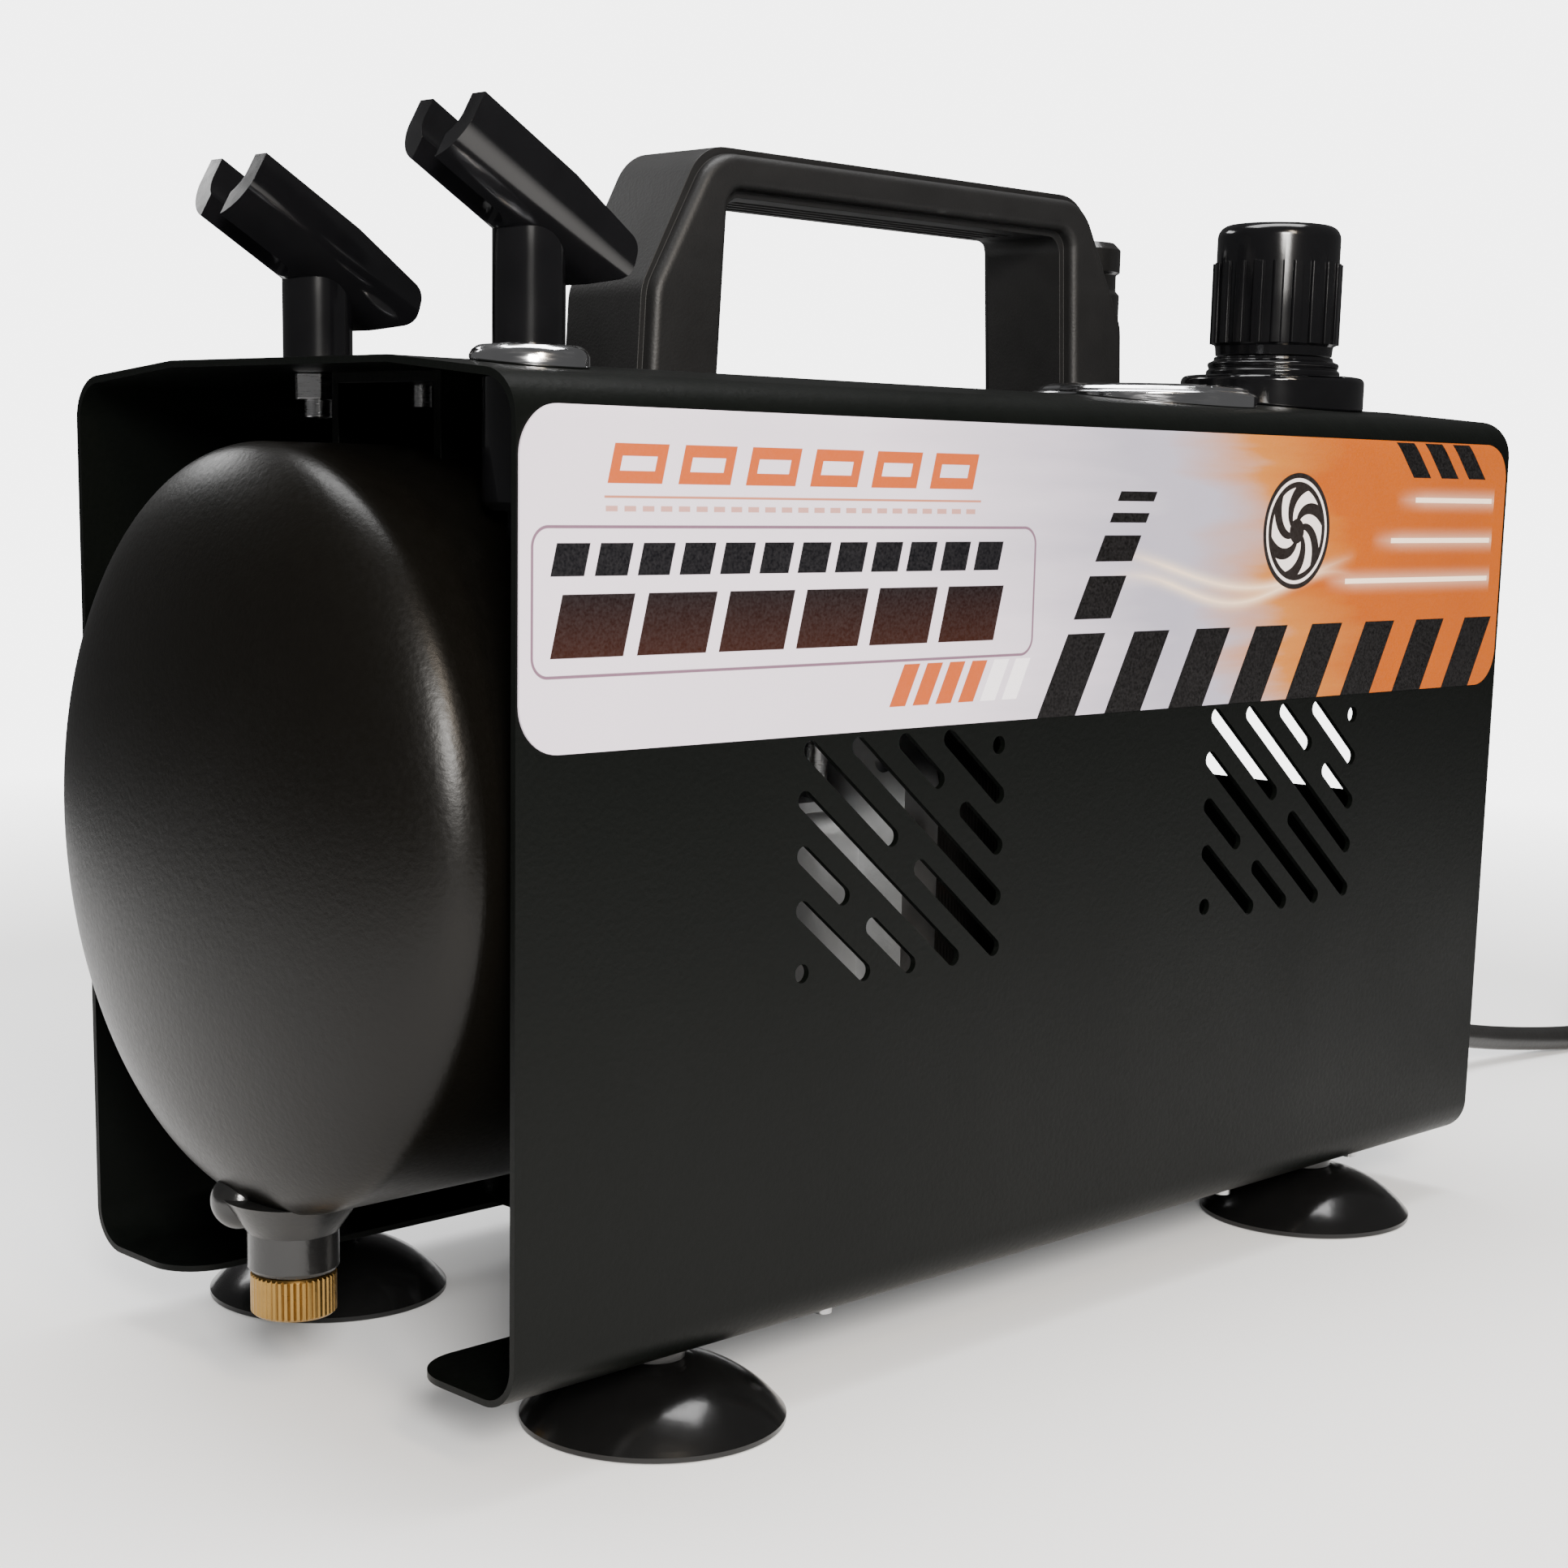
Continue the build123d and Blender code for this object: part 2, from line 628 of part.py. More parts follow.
NEEDLE_Z = ROOF_Z - 5.6
NEEDLE_ANGLE = 225.0      # the zero mark, at the dial's lower left
with BuildPart() as gauge_needle:
    with BuildSketch(Plane.XY.offset(NEEDLE_Z)):
        with Locations(GAUGE):
            Circle(2.6)
    extrude(amount=1.2)
    needle_plane = Plane(
        origin=(GAUGE[0], GAUGE[1], NEEDLE_Z),
        x_dir=(cos(radians(NEEDLE_ANGLE)), sin(radians(NEEDLE_ANGLE)), 0),
        z_dir=(0, 0, 1),
    )
    with BuildSketch(needle_plane):
        with BuildLine():
            Polyline((-6, -0.9), (-6, 0.9), (14.5, 0.25), (14.5, -0.25), close=True)
        make_face()
    extrude(amount=0.5)
    with BuildSketch(Plane.XY.offset(ROOF_Z - 8 + 0.2)):
        with Locations(GAUGE):
            Circle(1.0)
    extrude(amount=NEEDLE_Z - ROOF_Z + 8 - 0.2)
save("gauge_needle", gauge_needle.part)

with BuildPart() as gauge_glass:
    with BuildSketch(Plane.XY.offset(ROOF_Z - 2.2)):
        with Locations(GAUGE):
            Circle(18.2)
    extrude(amount=2.4)
save("gauge_glass", gauge_glass.part)

# ---------------------------------------------------------------- regulator
REG_AXIS = Axis((REGULATOR[0], REGULATOR[1], 0), (0, 0, 1))
REG_PLANE = Plane((REGULATOR[0], REGULATOR[1], 0), x_dir=(1, 0, 0), z_dir=(0, -1, 0))
NUT_TOP = ROOF_Z + PANEL_NUT_H
PORT_REACH = 24.0
SPRING_LOW = 155.0
SPRING_TOP = 171.0

with BuildPart() as regulator_body:
    with BuildSketch(REG_PLANE):
        turned(
            [
                (0, 150),
                (17, 150),
                (19, 153),
                (19, ROOF_IN - 1),
                (18, ROOF_IN),
                (NECK_R, ROOF_IN),
                (NECK_R, NUT_TOP),
                (9.2, NUT_TOP),
                (9.2, SPRING_LOW),
                (0, SPRING_LOW),
            ]
        )
    revolve(axis=REG_AXIS)
    with BuildSketch(Plane.XY.offset(122)):
        with Locations(REGULATOR):
            RectangleRounded(34, 34, 5)
    extrude(amount=28)
    with BuildSketch(across(REGULATOR[0] - PORT_REACH)):
        with Locations((REGULATOR[1], PORT_Z)):
            Circle(7.5)
    extrude(amount=2 * PORT_REACH)
    with BuildSketch(Plane.XZ.offset(-REGULATOR[1] - PORT_REACH)):
        with Locations((REGULATOR[0], PORT_Z)):
            Circle(7.5)
    extrude(amount=2 * PORT_REACH)
    add(cover.part, mode=Mode.SUBTRACT)
save("regulator_body", regulator_body.part)

with BuildPart() as regulator_panel_nut:
    with BuildSketch(REG_PLANE):
        turned(
            [
                (NECK_R + 0.02, ROOF_Z - 3),
                (PANEL_NUT_R, ROOF_Z - 3),
                (PANEL_NUT_R, NUT_TOP - 0.8),
                (PANEL_NUT_R - 0.8, NUT_TOP),
                (NECK_R + 0.02, NUT_TOP),
            ]
        )
    revolve(axis=REG_AXIS)
    add(cover_block.part, mode=Mode.SUBTRACT)
save("regulator_panel_nut", regulator_panel_nut.part)

with BuildPart() as regulator_bonnet:
    with BuildSketch(REG_PLANE):
        turned(
            [
                (3.5, NUT_TOP),
                (15.3, NUT_TOP),
                (15.3, NUT_TOP + 1.2),
                (14.6, NUT_TOP + 1.7),
                (15.0, NUT_TOP + 2.2),
                (15.0, NUT_TOP + 3.0),
                (13.6, NUT_TOP + 3.6),
                (13.6, KNOB_BOTTOM - GAP),
                (3.5, KNOB_BOTTOM - GAP),
            ]
        )
    revolve(axis=REG_AXIS)
save("regulator_bonnet", regulator_bonnet.part)

with BuildPart() as regulator_knob:
    with BuildSketch(REG_PLANE):
        with BuildLine():
            Polyline(
                (3 + FIT, KNOB_BOTTOM + 4),
                (5, KNOB_BOTTOM + 4),
                (5, KNOB_TOP - 4),
                (11.4, KNOB_TOP - 4),
                (11.4, KNOB_BOTTOM),
                (13.3, KNOB_BOTTOM),
                (13.5, KNOB_BOTTOM + 2),
                (KNOB_R, KNOB_BOTTOM + 2.6),
                (KNOB_R, KNOB_TOP - 3),
            )
            TangentArc((KNOB_R, KNOB_TOP - 3), (KNOB_R - 3, KNOB_TOP), tangent=(0, 1))
            Polyline(
                (KNOB_R - 3, KNOB_TOP),
                (0, KNOB_TOP - 0.4),
                (0, KNOB_TOP - 3.4),
                (3 + FIT, KNOB_TOP - 3.4),
                (3 + FIT, KNOB_BOTTOM + 4),
            )
        make_face()
    revolve(axis=REG_AXIS)
    # grip ribs
    with BuildSketch(Plane.XY.offset(KNOB_BOTTOM + 2.6)):
        with Locations(REGULATOR):
            with PolarLocations(KNOB_R - 0.35, KNOB_RIBS):
                RectangleRounded(2.2, 2.5, 0.5)
    extrude(amount=18)
save("regulator_knob", regulator_knob.part)

with BuildPart() as regulator_spindle:
    with BuildSketch(Plane.XY.offset(SPRING_TOP + GAP)):
        with Locations(REGULATOR):
            Circle(8.8)
    extrude(amount=4)
    with BuildSketch(Plane.XY.offset(SPRING_TOP + GAP + 4)):
        with Locations(REGULATOR):
            Circle(3)
    extrude(amount=KNOB_TOP - 8 - SPRING_TOP - GAP - 4)
save("regulator_spindle", regulator_spindle.part)

SPRING_R = 6.6
SPRING_WIRE = 0.9
with BuildPart() as regulator_spring:
    with BuildLine():
        coil_line = Helix(
            pitch=3.2,
            height=SPRING_TOP - SPRING_LOW - 2 * SPRING_WIRE - 0.2,
            radius=SPRING_R,
            center=(REGULATOR[0], REGULATOR[1], SPRING_LOW + SPRING_WIRE + 0.1),
        )
    with BuildSketch(Plane(origin=coil_line @ 0, z_dir=coil_line % 0)):
        Circle(SPRING_WIRE)
    sweep(path=coil_line)
save("regulator_spring", regulator_spring.part)

# ---------------------------------------------------------------- air outlet coupler
OUT_AXIS = Axis((OUTLET[0], OUTLET[1], 0), (0, 0, 1))
OUT_PLANE = Plane((OUTLET[0], OUTLET[1], 0), x_dir=(1, 0, 0), z_dir=(0, -1, 0))
OUTLET_TOP = 221.5
OUTLET_BORE = 3.75
SLEEVE_R = 9.2
with BuildPart() as outlet_body:
    with BuildSketch(OUT_PLANE):
        turned(
            [
                (2, 150),
                (6, 150),
                (6, ROOF_Z),
                (10, ROOF_Z),
                (10, ROOF_Z + 1),
                (8.5, ROOF_Z + 1.4),
                (8.5, ROOF_Z + 9),
                (7.2, ROOF_Z + 10),
                (7.2, OUTLET_TOP - 0.6),
                (6.6, OUTLET_TOP),
                (OUTLET_BORE + 0.6, OUTLET_TOP),
                (OUTLET_BORE, OUTLET_TOP - 0.6),
                (OUTLET_BORE, OUTLET_TOP - 24.6),
                (2, OUTLET_TOP - 24.6),
            ]
        )
    revolve(axis=OUT_AXIS)
    # spanner flats
    with BuildSketch(Plane.XY.offset(ROOF_Z + 1.5)):
        with Locations(OUTLET):
            Rectangle(24, 24)
            RegularPolygon(9.0, 6, mode=Mode.SUBTRACT)
    extrude(amount=7, mode=Mode.SUBTRACT)
save("outlet_body", outlet_body.part)

SLEEVE_BOTTOM = ROOF_Z + 14.0
SLEEVE_TOP_Z = OUTLET_TOP + 1.0
with BuildPart() as outlet_sleeve:
    with BuildSketch(OUT_PLANE):
        turned(
            [
                (7.2 + FIT, SLEEVE_BOTTOM),
                (SLEEVE_R - 0.6, SLEEVE_BOTTOM),
                (SLEEVE_R, SLEEVE_BOTTOM + 0.8),
                (SLEEVE_R, SLEEVE_TOP_Z - 12),
                (SLEEVE_R - 0.9, SLEEVE_TOP_Z - 11),
                (SLEEVE_R - 0.9, SLEEVE_TOP_Z - 7.4),
                (SLEEVE_R, SLEEVE_TOP_Z - 6.8),
                (SLEEVE_R, SLEEVE_TOP_Z - 1.6),
                (SLEEVE_R - 1.6, SLEEVE_TOP_Z),
                (7.2 + FIT, SLEEVE_TOP_Z),
            ]
        )
    revolve(axis=OUT_AXIS)
save("outlet_sleeve", outlet_sleeve.part)

with BuildPart() as outlet_nut:
    with BuildSketch(Plane.XY.offset(ROOF_IN - 5)):
        with Locations(OUTLET):
            RegularPolygon(9.0, 6)
            Circle(6.02, mode=Mode.SUBTRACT)
    extrude(amount=5)
save("outlet_nut", outlet_nut.part)

# ---------------------------------------------------------------- power button
SW_AXIS = Axis((SWITCH[0], SWITCH[1], 0), (0, 0, 1))
SW_PLANE = Plane((SWITCH[0], SWITCH[1], 0), x_dir=(1, 0, 0), z_dir=(0, -1, 0))
BUTTON_R = 6.2
BUTTON_TRAVEL = 2.0
BUTTON_TOP = ROOF_Z + 2.6
with BuildPart() as switch_bezel:
    with BuildSketch(SW_PLANE):
        turned(
            [
                (BUTTON_R + GAP, ROOF_Z - 3),
                (10, ROOF_Z - 3),
                (10, ROOF_Z + 0.6),
                (9.5, ROOF_Z + 1.5),
                (8.4, ROOF_Z + 2.3),
                (7.3, ROOF_Z + 2.2),
                (BUTTON_R + GAP, ROOF_Z + 1.6),
            ]
        )
    revolve(axis=SW_AXIS)
    add(cover_block.part, mode=Mode.SUBTRACT)
save("switch_bezel", switch_bezel.part)

SWITCH_LOW = 160.0
with BuildPart() as switch_body:
    with BuildSketch(SW_PLANE):
        turned(
            [
                (0, SWITCH_LOW),
                (6.5, SWITCH_LOW),
                (7.9, SWITCH_LOW + 1.4),
                (7.9, ROOF_Z - CROWN_DROP),
                (BUTTON_R + GAP, ROOF_Z - CROWN_DROP),
                (BUTTON_R + GAP, ROOF_Z - 12),
                (0, ROOF_Z - 12),
            ]
        )
    revolve(axis=SW_AXIS)
    # solder tags
    with BuildSketch(Plane.XY.offset(SWITCH_LOW - 4.5)):
        with Locations((SWITCH[0] - 3, SWITCH[1]), (SWITCH[0] + 3, SWITCH[1])):
            Rectangle(0.8, 3)
    extrude(amount=4.5)
save("switch_body", switch_body.part)

with BuildPart() as switch_button:
    with BuildSketch(SW_PLANE):
        turned(
            [
                (0, ROOF_Z - 12 + BUTTON_TRAVEL + GAP),
                (BUTTON_R, ROOF_Z - 12 + BUTTON_TRAVEL + GAP),
                (BUTTON_R, BUTTON_TOP - 0.8),
                (BUTTON_R - 0.8, BUTTON_TOP),
                (0, BUTTON_TOP - 0.5),
            ]
        )
    revolve(axis=SW_AXIS)
save("switch_button", switch_button.part)

# screwed onto the regulator's port at the cord end
PORT_END = REGULATOR[0] + PORT_REACH
with BuildPart() as pressure_switch:
    with BuildSketch(across(PORT_END)):
        with Locations((REGULATOR[1], PORT_Z)):
            RegularPolygon(7, 6)
    extrude(amount=2)
    with BuildSketch(across(PORT_END + 2)):
        with Locations((REGULATOR[1], PORT_Z)):
            Circle(10)
    extrude(amount=5.6)
    fillet(pressure_switch.edges().group_by(Axis.X)[-1], 1.4)
    with BuildSketch(Plane.XY.offset(PORT_Z - 16)):
        with Locations(*[(PORT_END + 4.4, REGULATOR[1] + side * 4) for side in (-1, 1)]):
            Rectangle(0.8, 4)
    extrude(amount=8)
save("pressure_switch", pressure_switch.part)

# ---------------------------------------------------------------- base plate and mounts
with BuildPart() as base_plate:
    with BuildSketch(Plane.XY.offset(FLOOR_IN)):
        with Locations(((PLATE_LEFT + PLATE_RIGHT) / 2, 0)):
            RectangleRounded(PLATE_RIGHT - PLATE_LEFT, COVER_WIDTH - 2 * SHEET - 14, 6)
        with Locations(*PLATE_SCREWS):
            Circle(2.0, mode=Mode.SUBTRACT)
    extrude(amount=PLATE_T)
save("base_plate", base_plate.part)

with BuildPart() as panel_screws:
    for places, top, length in (
        (PLATE_SCREWS, PLATE_TOP, 7.0),
        (BRACKET_FOOT_SCREWS, PLATE_TOP, 7.0),
    ):
        with BuildSketch(Plane.XY.offset(top)):
            with Locations(*places):
                Circle(3.8)
        extrude(amount=2.4)
        with BuildSketch(Plane.XY.offset(top - length)):
            with Locations(*places):
                Circle(1.9)
        extrude(amount=length)
    with BuildSketch(Plane.XY.offset(ROOF_Z)):
        with Locations(*BRACKET_SCREWS):
            Circle(3.8)
    extrude(amount=1.2)
    fillet(panel_screws.edges().group_by(Axis.Z)[-1], 0.7)
    with BuildSketch(Plane.XY.offset(ROOF_Z - 7)):
        with Locations(*BRACKET_SCREWS):
            Circle(1.85)
    extrude(amount=7)
save("panel_screws", panel_screws.part)

with BuildPart() as motor_mounts:
    with BuildSketch(Plane.XY.offset(PLATE_TOP)):
        with Locations(*MOUNT_PLACES):
            Circle(MOUNT_R)
    extrude(amount=MOUNT_H)
    for place in MOUNT_PLACES:
        with BuildSketch(Plane((place[0], place[1], 0), x_dir=(1, 0, 0), z_dir=(0, -1, 0))):
            with Locations((MOUNT_R + 1.4, PLATE_TOP + MOUNT_H / 2)):
                Circle(3.4)
        revolve(axis=Axis((place[0], place[1], 0), (0, 0, 1)), mode=Mode.SUBTRACT)
save("motor_mounts", motor_mounts.part)


# ---------------------------------------------------------------- motor
def stack_square(size, radius):
    """The motor's rounded square section, centred on the shaft."""
    with Locations((0, SHAFT_Z)):
        RectangleRounded(size, size, radius)


BOLT_PLACES = [(sy * 34.0, SHAFT_Z + sz * 34.0) for sy in (-1, 1) for sz in (-1, 1)]
SHAFT_AXIS = Axis((0, 0, SHAFT_Z), (1, 0, 0))

with BuildPart() as motor_stator:
    with BuildSketch(across(STACK_LEFT)):
        stack_square(STACK_SIZE, 12)
        with Locations((0, SHAFT_Z)):
            Circle(BORE_R, mode=Mode.SUBTRACT)
        with Locations(*BOLT_PLACES):
            Circle(2.2, mode=Mode.SUBTRACT)
    extrude(amount=STACK_RIGHT - STACK_LEFT)
save("motor_stator", motor_stator.part)

with BuildPart() as motor_windings:
    for middle in (STACK_LEFT - 3.5, STACK_RIGHT + 3.5):
        with BuildSketch(Plane.XZ):
            with Locations((middle, SHAFT_Z + 29)):
                RectangleRounded(6.4, 10, 2.8)
        revolve(axis=SHAFT_AXIS)
save("motor_windings", motor_windings.part)

with BuildPart() as motor_rotor:
    with BuildSketch(across(STACK_LEFT + 1)):
        with Locations((0, SHAFT_Z)):
            Circle(BORE_R - 0.4)
            Circle(SHAFT_R, mode=Mode.SUBTRACT)
    extrude(amount=STACK_RIGHT - STACK_LEFT - 2)
save("motor_rotor", motor_rotor.part)

SHAFT_LEFT = -33.0
SHAFT_RIGHT = 92.0
with BuildPart() as motor_shaft:
    with BuildSketch(across(SHAFT_LEFT)):
        with Locations((0, SHAFT_Z)):
            Circle(SHAFT_R)
    extrude(amount=SHAFT_RIGHT - SHAFT_LEFT)
    chamfer(motor_shaft.edges().filter_by(GeomType.CIRCLE), 0.6)
save("motor_shaft", motor_shaft.part)

FRONT_BEARING = -22.0
REAR_BEARING = 58.0
BEARING_W = 7.0
with BuildPart() as motor_bearings:
    for left in (FRONT_BEARING, REAR_BEARING):
        with BuildSketch(across(left)):
            with Locations((0, SHAFT_Z)):
                Circle(BEARING_R)
                Circle(SHAFT_R + FIT, mode=Mode.SUBTRACT)
        extrude(amount=BEARING_W)
save("motor_bearings", motor_bearings.part)

with BuildPart() as motor_end_bell:
    with BuildSketch(across(STACK_RIGHT)):
        stack_square(STACK_SIZE, 12)
    extrude(amount=14)
    with BuildSketch(across(STACK_RIGHT)):
        with Locations((0, SHAFT_Z)):
            Circle(36)
    extrude(amount=10, mode=Mode.SUBTRACT)
    # air windows between four arms
    with BuildSketch(across(STACK_RIGHT + 8)):
        with Locations((0, SHAFT_Z)):
            Circle(33)
            Circle(15, mode=Mode.SUBTRACT)
            with Locations(*[Location((0, 0), angle) for angle in (45, 135)]):
                Rectangle(70, 9, mode=Mode.SUBTRACT)
    extrude(amount=8, mode=Mode.SUBTRACT)
    with BuildSketch(across(STACK_RIGHT + 10)):
        with Locations((0, SHAFT_Z)):
            Circle(14)
    extrude(amount=12)
    with BuildSketch(across(STACK_RIGHT + 9)):
        with Locations((0, SHAFT_Z)):
            Circle(SHAFT_R + 1)
    extrude(amount=20, mode=Mode.SUBTRACT)
    with BuildSketch(across(REAR_BEARING)):
        with Locations((0, SHAFT_Z)):
            Circle(BEARING_R)
    extrude(amount=BEARING_W, mode=Mode.SUBTRACT)
    # mounting foot
    with BuildSketch(Plane.XY.offset(MOUNT_TOP)):
        with Locations((MOUNT_X[1] - 2, 0)):
            RectangleRounded(20, 70, 3)
    extrude(amount=4)
    with BuildSketch(Plane.XY.offset(MOUNT_TOP)):
        with Locations((STACK_RIGHT + 7, -MOUNT_Y), (STACK_RIGHT + 7, MOUNT_Y)):
            Rectangle(14, 10)
    extrude(amount=SHAFT_Z - STACK_SIZE / 2 - MOUNT_TOP + 2)
    with BuildSketch(across(STACK_RIGHT)):
        with Locations(*BOLT_PLACES):
            Circle(2.2)
    extrude(amount=20, mode=Mode.SUBTRACT)
save("motor_end_bell", motor_end_bell.part)

FAN_LEFT = 76.0
FAN_R = 36.0
FAN_WIDTH = 12.0
FAN_BLADES = 7
with BuildPart() as cooling_fan:
    with BuildSketch(across(FAN_LEFT)):
        with Locations((0, SHAFT_Z)):
            Circle(9)
    extrude(amount=FAN_WIDTH)
    for number in range(FAN_BLADES):
        turn = 360 / FAN_BLADES * number
        radial = Vector(0, cos(radians(turn)), sin(radians(turn)))
        root = Vector(FAN_LEFT + FAN_WIDTH / 2, 0, SHAFT_Z) + radial * 7
        tangent = radial.cross(Vector(1, 0, 0))
        pitched = Vector(1, 0, 0) * sin(radians(35)) + tangent * cos(radians(35))
        with BuildSketch(Plane(origin=root, x_dir=pitched, z_dir=radial)):
            RectangleRounded(15, 1.4, 0.5)
        extrude(amount=FAN_R - 7)
    with BuildSketch(across(FAN_LEFT - 5)):
        with Locations((0, SHAFT_Z)):
            Circle(SHAFT_R)
    extrude(amount=30, mode=Mode.SUBTRACT)
save("cooling_fan", cooling_fan.part)

with BuildPart() as motor_bolts:
    with BuildSketch(across(STACK_LEFT - 8)):
        with Locations(*BOLT_PLACES):
            Circle(2)
    extrude(amount=STACK_RIGHT - STACK_LEFT + 22)
    with BuildSketch(across(STACK_RIGHT + 14)):
        with Locations(*BOLT_PLACES):
            RegularPolygon(4.1, 6)
    extrude(amount=3.2)
save("motor_bolts", motor_bolts.part)

# ---------------------------------------------------------------- pump
CASE_RIGHT = -18.0
CAVITY_R = 21.0
HEAD_SIZE = 50.0
HEAD_BOLTS = [
    (CYLINDER_X + sx * 20.0, sy * 20.0) for sx in (-1, 1) for sy in (-1, 1)
]
with BuildPart() as crankcase:
    with BuildSketch(across(CASE_LEFT)):
        with Locations((0, (CASE_TOP + 40) / 2)):
            RectangleRounded(56, CASE_TOP - 40, 7)
    extrude(amount=CASE_RIGHT - CASE_LEFT)
    # bell for the motor's front windings
    with BuildSketch(across(CASE_RIGHT)):
        stack_square(STACK_SIZE, 12)
    extrude(amount=STACK_LEFT - CASE_RIGHT)
    with BuildSketch(across(FRONT_BEARING + BEARING_W)):
        with Locations((0, SHAFT_Z)):
            Circle(36)
    extrude(amount=STACK_LEFT - FRONT_BEARING - BEARING_W, mode=Mode.SUBTRACT)
    # cylinder deck
    with BuildSketch(Plane.XY.offset(CASE_TOP - 8)):
        with Locations((CYLINDER_X, 0)):
            RectangleRounded(HEAD_SIZE, HEAD_SIZE + 2, 5)
    extrude(amount=8)
    # crank chamber, bearing seat and cylinder bore
    with BuildSketch(across(CASE_LEFT - 5)):
        with Locations((0, SHAFT_Z)):
            Circle(CAVITY_R)
    extrude(amount=FRONT_BEARING - CASE_LEFT + 5, mode=Mode.SUBTRACT)
    with BuildSketch(across(FRONT_BEARING)):
        with Locations((0, SHAFT_Z)):
            Circle(BEARING_R)
    extrude(amount=BEARING_W, mode=Mode.SUBTRACT)
    with BuildSketch(Plane.XY.offset(SHAFT_Z)):
        with Locations((CYLINDER_X, 0)):
            Circle(CYLINDER_R + 3)
    extrude(amount=40, mode=Mode.SUBTRACT)
    # mounting foot on two ribs
    with BuildSketch(Plane.XY.offset(MOUNT_TOP)):
        with Locations((MOUNT_X[0], 0)):
            RectangleRounded(24, 70, 3)
    extrude(amount=4)
    with BuildSketch(Plane.XY.offset(MOUNT_TOP)):
        with Locations((MOUNT_X[0], -18), (MOUNT_X[0], 18)):
            Rectangle(20, 8)
    extrude(amount=12)
    with BuildSketch(Plane.XY.offset(CASE_TOP - 8)):
        with Locations(*HEAD_BOLTS):
            Circle(2.5)
    extrude(amount=8, mode=Mode.SUBTRACT)
    with BuildSketch(across(CASE_RIGHT)):
        with Locations(*BOLT_PLACES):
            Circle(2.2)
    extrude(amount=20, mode=Mode.SUBTRACT)
save("crankcase", crankcase.part)

COVER_SCREWS = [(sy * 22.0, SHAFT_Z + sz * 22.0) for sy in (-1, 1) for sz in (-1, 1)]
with BuildPart() as crankcase_cover:
    with BuildSketch(across(CASE_LEFT - 3)):
        with Locations((0, (CASE_TOP - 8 + 40) / 2)):
            RectangleRounded(54, CASE_TOP - 8 - 42, 7)
    extrude(amount=3)
    with BuildSketch(across(CASE_LEFT - 5)):
        with Locations((0, SHAFT_Z - 6)):
            Circle(15)
    extrude(amount=2)
    with BuildSketch(across(CASE_LEFT - 6)):
        with Locations(*[(sy * 22.0, 68.0 + sz * 21.0) for sy in (-1, 1) for sz in (-1, 1)]):
            RegularPolygon(3.6, 6)
    extrude(amount=3)
save("crankcase_cover", crankcase_cover.part)

DISC_LEFT = -33.0
PIN_LEFT = -39.0
with BuildPart() as crank_disc:
    with BuildSketch(across(DISC_LEFT)):
        with Locations((0, SHAFT_Z)):
            Circle(10)
        with Locations((0, SHAFT_Z)):
            Circle(18)
            with Locations((0, 12)):
                Rectangle(40, 24, mode=Mode.SUBTRACT)
        with Locations((0, SHAFT_Z)):
            Circle(11)
            Circle(SHAFT_R, mode=Mode.SUBTRACT)
    extrude(amount=8)
    with BuildSketch(across(DISC_LEFT - 1)):
        with Locations((0, SHAFT_Z)):
            Circle(11)
    extrude(amount=1)
    with BuildSketch(across(PIN_LEFT)):
        with Locations((0, SHAFT_Z + THROW)):
            Circle(3)
    extrude(amount=DISC_LEFT - PIN_LEFT - 0.5)
save("crank_disc", crank_disc.part)

CROWN_Z = SLEEVE_TOP - 0.5
PISTON_H = 13.0
PIN_Z = SHAFT_Z + THROW
ROD_LEFT = CYLINDER_X - 2.8
ROD_THICK = 5.6
with BuildPart() as connecting_rod:
    with BuildSketch(across(ROD_LEFT)):
        with Locations((0, PIN_Z)):
            Circle(7.5)
        with Locations((0, (PIN_Z + CROWN_Z - PISTON_H) / 2 + 1)):
            Rectangle(7, CROWN_Z - PISTON_H - PIN_Z + 4)
        with Locations((0, CROWN_Z - PISTON_H + 4)):
            Circle(4.5)
        with Locations((0, PIN_Z)):
            Circle(4.2, mode=Mode.SUBTRACT)
    extrude(amount=ROD_THICK)
save("connecting_rod", connecting_rod.part)

with BuildPart() as piston:
    with BuildSketch(Plane.XY.offset(CROWN_Z - PISTON_H)):
        with Locations((CYLINDER_X, 0)):
            Circle(CYLINDER_R - 0.08)
    extrude(amount=PISTON_H)
    chamfer(piston.edges().group_by(Axis.Z)[-1], 0.5)
    # hollow skirt
    with BuildSketch(Plane.XY.offset(CROWN_Z - PISTON_H)):
        with Locations((CYLINDER_X, 0)):
            Circle(CYLINDER_R - 2.5)
    extrude(amount=PISTON_H - 4, mode=Mode.SUBTRACT)
    # ring groove
    with BuildSketch(Plane.XY.offset(CROWN_Z - 3.4)):
        with Locations((CYLINDER_X, 0)):
            Circle(CYLINDER_R + 1)
            Circle(CYLINDER_R - 1.4, mode=Mode.SUBTRACT)
    extrude(amount=2, mode=Mode.SUBTRACT)
    # wrist pin between the skirt and the rod's eye
    with BuildSketch(across(CYLINDER_X - CYLINDER_R + 1.5)):
        with Locations((0, CROWN_Z - PISTON_H + 4)):
            Circle(2.4)
    extrude(amount=CYLINDER_R - 1.5 - ROD_THICK / 2)
    with BuildSketch(across(CYLINDER_X + ROD_THICK / 2)):
        with Locations((0, CROWN_Z - PISTON_H + 4)):
            Circle(2.4)
    extrude(amount=CYLINDER_R - 1.5 - ROD_THICK / 2)
save("piston", piston.part)

